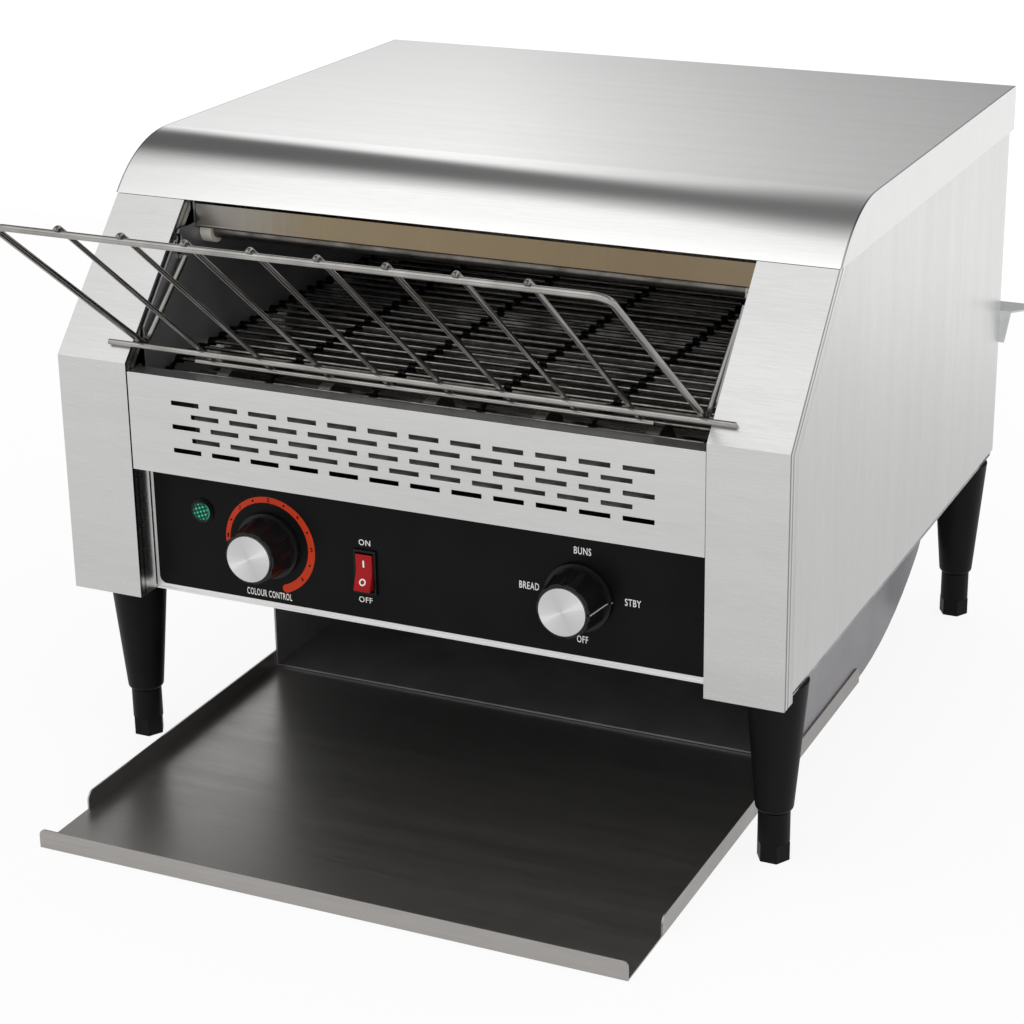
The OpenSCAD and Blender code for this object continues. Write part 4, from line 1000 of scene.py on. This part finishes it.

# %% [markdown]
# ## Studio floor
#
# A white paper sweep lies under the machine. Steel shows its surroundings more than its own colour,
# so the paper has to look as clean in the steel as it does to the camera. To the camera it is
# mostly an even white, and the rest is real paper that takes the machine's soft shadow. In the
# steel it carries a painted shade that darkens towards the machine, and this painted shade grades
# the side panels from pale at the top to grey at the bottom front corner.

# %% Floor
FLOOR_SIZE = 30.0
SEEN_LIFT = 0.88
MIRRORED_LIFT = 0.85
PAINTED_FLOOR_SHADE_GRADES = [
    (-1.2, 1.0),
    (-0.8, 0.92),
    (-0.6, 0.82),
    (-0.3, 0.80),
    (0.2, 0.66),
    (0.46, 0.68),
    (0.68, 0.76),
    (0.90, 0.93),
    (1.02, 1.04),
    (1.2, 1.08),
]


def ray_kinds(tree):
    """Sockets that are 1 for what is seen directly or through glass, and 1 for what is mirrored."""
    ray = add_node(tree, "LightPath").outputs
    ends = {0: ray["Is Camera Ray"], 1: ray["Is Transmission Ray"]}
    seen = add_node(tree, "Math", ends, operation="MAXIMUM")
    return seen, ray["Is Glossy Ray"]


def paper_floor(name, painted_shade_grades):
    """White paper, lifted to white for the camera and, for mirrors, to a painted shade along Y."""
    material, tree, shader = new_material(name)
    fill(shader, {"Base Color": linear("#f4f4f4"), "Roughness": 0.9, "Specular IOR Level": 0.0})
    seen, mirrored = ray_kinds(tree)
    first, last = painted_shade_grades[0][0], painted_shade_grades[-1][0]
    ends = span((first, last))
    along = add_node(tree, "MapRange", {"Value": object_axes(tree)["Y"], **ends})
    # Painted shade for mirrors: the floor's glow grows darker towards the machine.
    stops = [((y - first) / (last - first), grey(tone)) for y, tone in painted_shade_grades]
    painted_floor_shade = add_node(tree, "ValToRGB", {"Fac": along}, stops)
    strength = add_node(tree, "Math", {0: seen, 1: painted_floor_shade}, operation="MAXIMUM")
    glow = add_node(tree, "Emission", {"Color": linear("#ffffff"), "Strength": strength})
    direct = add_node(tree, "Math", {0: seen, 1: SEEN_LIFT}, operation="MULTIPLY")
    share = add_node(
        tree, "Math", {0: mirrored, 1: MIRRORED_LIFT, 2: direct}, operation="MULTIPLY_ADD"
    )
    mix = add_node(tree, "MixShader", {0: share, 1: shader, 2: glow})
    fill(tree.nodes["Material Output"], {"Surface": mix})
    return material


bpy.ops.mesh.primitive_plane_add(size=FLOOR_SIZE, location=(0, 0, 0))
floor = bpy.context.object
floor.name = "paper_floor"
floor.data.materials.append(paper_floor("paper_white_matt", PAINTED_FLOOR_SHADE_GRADES))
print("floor", FLOOR_SIZE, "m wide")

# %% [markdown]
# ## Lights and room
#
# Two large soft lights and a bright room light the machine evenly. What the steel mirrors is not
# one flat tone: the room is white low down, has a dark grey ceiling behind the machine, between
# about 30 and 75 degrees up, and is white again overhead. The flat hood mirrors the low white, its
# rolled edge sweeps up through the grey ceiling, and so the roll gets its dark band. In front the
# room is greyer low down, where the slanted posts look, and brightest high up.

# %% Lights
LAMPS = [
    ("key_left", (-1.5, -1.4, 3.1), 3.0, 4.0),
    ("fill_right", (2.8, -0.9, 1.6), 1.8, 4.0),
]
LAMP_AIM = Vector((0, 0, 0.2))


def soft_light(name, place, size, watts):
    """Square soft light at a place in metres, turned towards the machine."""
    data = bpy.data.lights.new(name, "AREA")
    data.shape = "SQUARE"
    data.size = size
    data.energy = watts
    light = bpy.data.objects.new(name, data)
    turn = (LAMP_AIM - Vector(place)).to_track_quat("-Z", "Y")
    light.matrix_world = Matrix.Translation(place) @ turn.to_matrix().to_4x4()
    bpy.context.scene.collection.objects.link(light)


for lamp in LAMPS:
    soft_light(*lamp)
print("lights placed:", len(LAMPS))

# %% [markdown]
# ## What the steel mirrors
#
# The band on the roll leans and softens towards the right. So the angles where the ceiling begins
# and ends are listed across the room, in degrees up its back, each with a place between the two
# sides of the strip that the roll can mirror. The angle is worked out from the direction's Y and Z,
# because the roll turns about X. Low on the right the wall is greyer, which darkens the hood
# towards its far right corner. All tones are plain numbers, where 1 is the white of the picture.

# %% Tones of the room
HALF_TURN = 180.0
FULL = (-1.0, 1.0)
ACROSS = (-0.60, -0.20)
DARK_BEGINS = [(0.175, 14), (0.2125, 22), (0.375, 33), (0.50, 34), (0.65, 31), (0.725, 19)]
DARK_BEGINS += [(0.775, 15)]
DARK_FULL = [(0.175, 38), (0.2125, 40), (0.375, 44.5), (0.50, 52), (0.65, 61), (0.725, 60)]
DARK_ENDS = [(0.2125, 60), (0.375, 62), (0.50, 63), (0.65, 62), (0.725, 68)]
WHITE_AGAIN = [(0.2125, 88), (0.375, 89), (0.50, 90), (0.65, 96), (0.725, 104), (0.775, 106)]
DARK_TONE = [(0.175, 0.105), (0.2125, 0.10), (0.375, 0.125), (0.50, 0.145), (0.65, 0.15)]
RIDGE_TONE = [(0.2125, 1.0), (0.375, 1.09), (0.50, 1.10), (0.60, 1.0)]
OVERHEAD_TONE = [(0.15, 0.66), (0.175, 0.72), (0.215, 0.87), (0.30, 0.94), (0.65, 0.94)]
OVERHEAD_TONE += [(0.725, 0.86), (0.775, 0.80)]
WALL_TONE = [(0.288, 1.0), (0.305, 0.87), (0.32, 0.78), (0.335, 0.68), (0.347, 0.61)]
WALL_TONE += [(0.36, 0.56), (0.40, 0.42), (0.45, 0.46), (0.575, 1.0)]
HORIZON, HORIZON_TONE = (0.16, 0.212), 0.45
RIDGE = (0.212, 0.235)
BACK_WALL = (0.1, 0.4)
IN_FRONT = (-0.33, -0.40)
SOFTBOX, FRONT_LOW_TONE, FRONT_HIGH_TONE = (0.35, 0.60), 0.78, 1.3
print("ceiling from", DARK_BEGINS[0][1], "to", WHITE_AGAIN[-1][1], "degrees")

# %% [markdown]
# ## The room as nodes
#
# A world can give one light to matt surfaces and another picture to mirrors, because a Light Path
# node tells which kind of ray asks. Matt surfaces and the camera get an even white. Mirrors get the
# graded room, which is put together from ramps over the direction that the ray looks in.

# %% Room


def mirrored_room(tree):
    """Tones of the graded room, by the direction that a mirror looks in."""
    place = add_node(tree, "TexCoord")
    way = add_node(tree, "SeparateXYZ", {"Vector": place.outputs["Generated"]}).outputs

    across = add_node(tree, "MapRange", {"Value": way["X"], **span(ACROSS)})

    def by_x(pairs, unit=1.0):
        """Value that changes across the room, given at places between the two sides."""
        return add_node(tree, "ValToRGB", {"Fac": across}, greys(pairs, unit))

    climb = add_node(tree, "Math", {0: way["Z"], 1: way["Y"]}, operation="ARCTAN2")
    turns = add_node(tree, "Math", {0: climb, 1: math.pi}, operation="DIVIDE")
    begins = span((by_x(DARK_BEGINS, HALF_TURN), by_x(DARK_FULL, HALF_TURN)))
    ends = span((by_x(DARK_ENDS, HALF_TURN), by_x(WHITE_AGAIN, HALF_TURN)), 1.0, 0.0)
    soft = {"interpolation_type": "SMOOTHSTEP"}
    enter = add_node(tree, "MapRange", {"Value": turns, **begins}, **soft)
    leave = add_node(tree, "MapRange", {"Value": turns, **ends}, **soft)
    ceiling = add_node(tree, "Math", {0: enter, 1: leave}, operation="MULTIPLY")
    horizon = add_node(tree, "MapRange", {"Value": way["Z"], **span(HORIZON, HORIZON_TONE)})
    ridge = add_node(tree, "MapRange", {"Value": way["Z"], **span(RIDGE)})
    far = add_node(tree, "Mix", {"Factor": ridge, "A": horizon, "B": by_x(RIDGE_TONE)})
    turned = add_node(tree, "MapRange", {"Value": way["X"], **span(FULL)})
    wall = add_node(tree, "ValToRGB", {"Fac": turned}, greys(WALL_TONE))
    shaded = add_node(tree, "Math", {0: wall, 1: far}, operation="MULTIPLY")
    behind = add_node(tree, "MapRange", {"Value": way["Y"], **span(BACK_WALL)})
    in_front = add_node(tree, "MapRange", {"Value": way["Y"], **span(IN_FRONT)})
    tones = span(SOFTBOX, FRONT_LOW_TONE, FRONT_HIGH_TONE)
    softbox = add_node(tree, "MapRange", {"Value": way["Z"], **tones})
    overhead = add_node(tree, "Mix", {"Factor": in_front, "A": by_x(OVERHEAD_TONE), "B": softbox})
    pale = add_node(tree, "Mix", {"Factor": behind, "A": overhead, "B": shaded})
    return add_node(tree, "Mix", {0: ceiling, 6: pale, 7: by_x(DARK_TONE)}, data_type="RGBA")


def studio_room():
    """World: even soft light for matt surfaces, and a graded room for what mirrors it."""
    world = bpy.data.worlds.new("studio_room")
    world.use_nodes = True
    tree = world.node_tree
    graded = tree.nodes["Background"]
    fill(graded, {"Color": mirrored_room(tree), "Strength": 1.0})
    white = add_node(tree, "Background", {"Color": grey(1.0), "Strength": 1.0})
    seen, mirrored = ray_kinds(tree)
    lighting = add_node(tree, "MixShader", {0: mirrored, 1: white, 2: graded})
    final = add_node(tree, "MixShader", {0: seen, 1: lighting, 2: white})
    fill(tree.nodes["World Output"], {"Surface": final})
    bpy.context.scene.world = world


studio_room()
bpy.context.scene.view_settings.view_transform = "Standard"
print("studio lit")
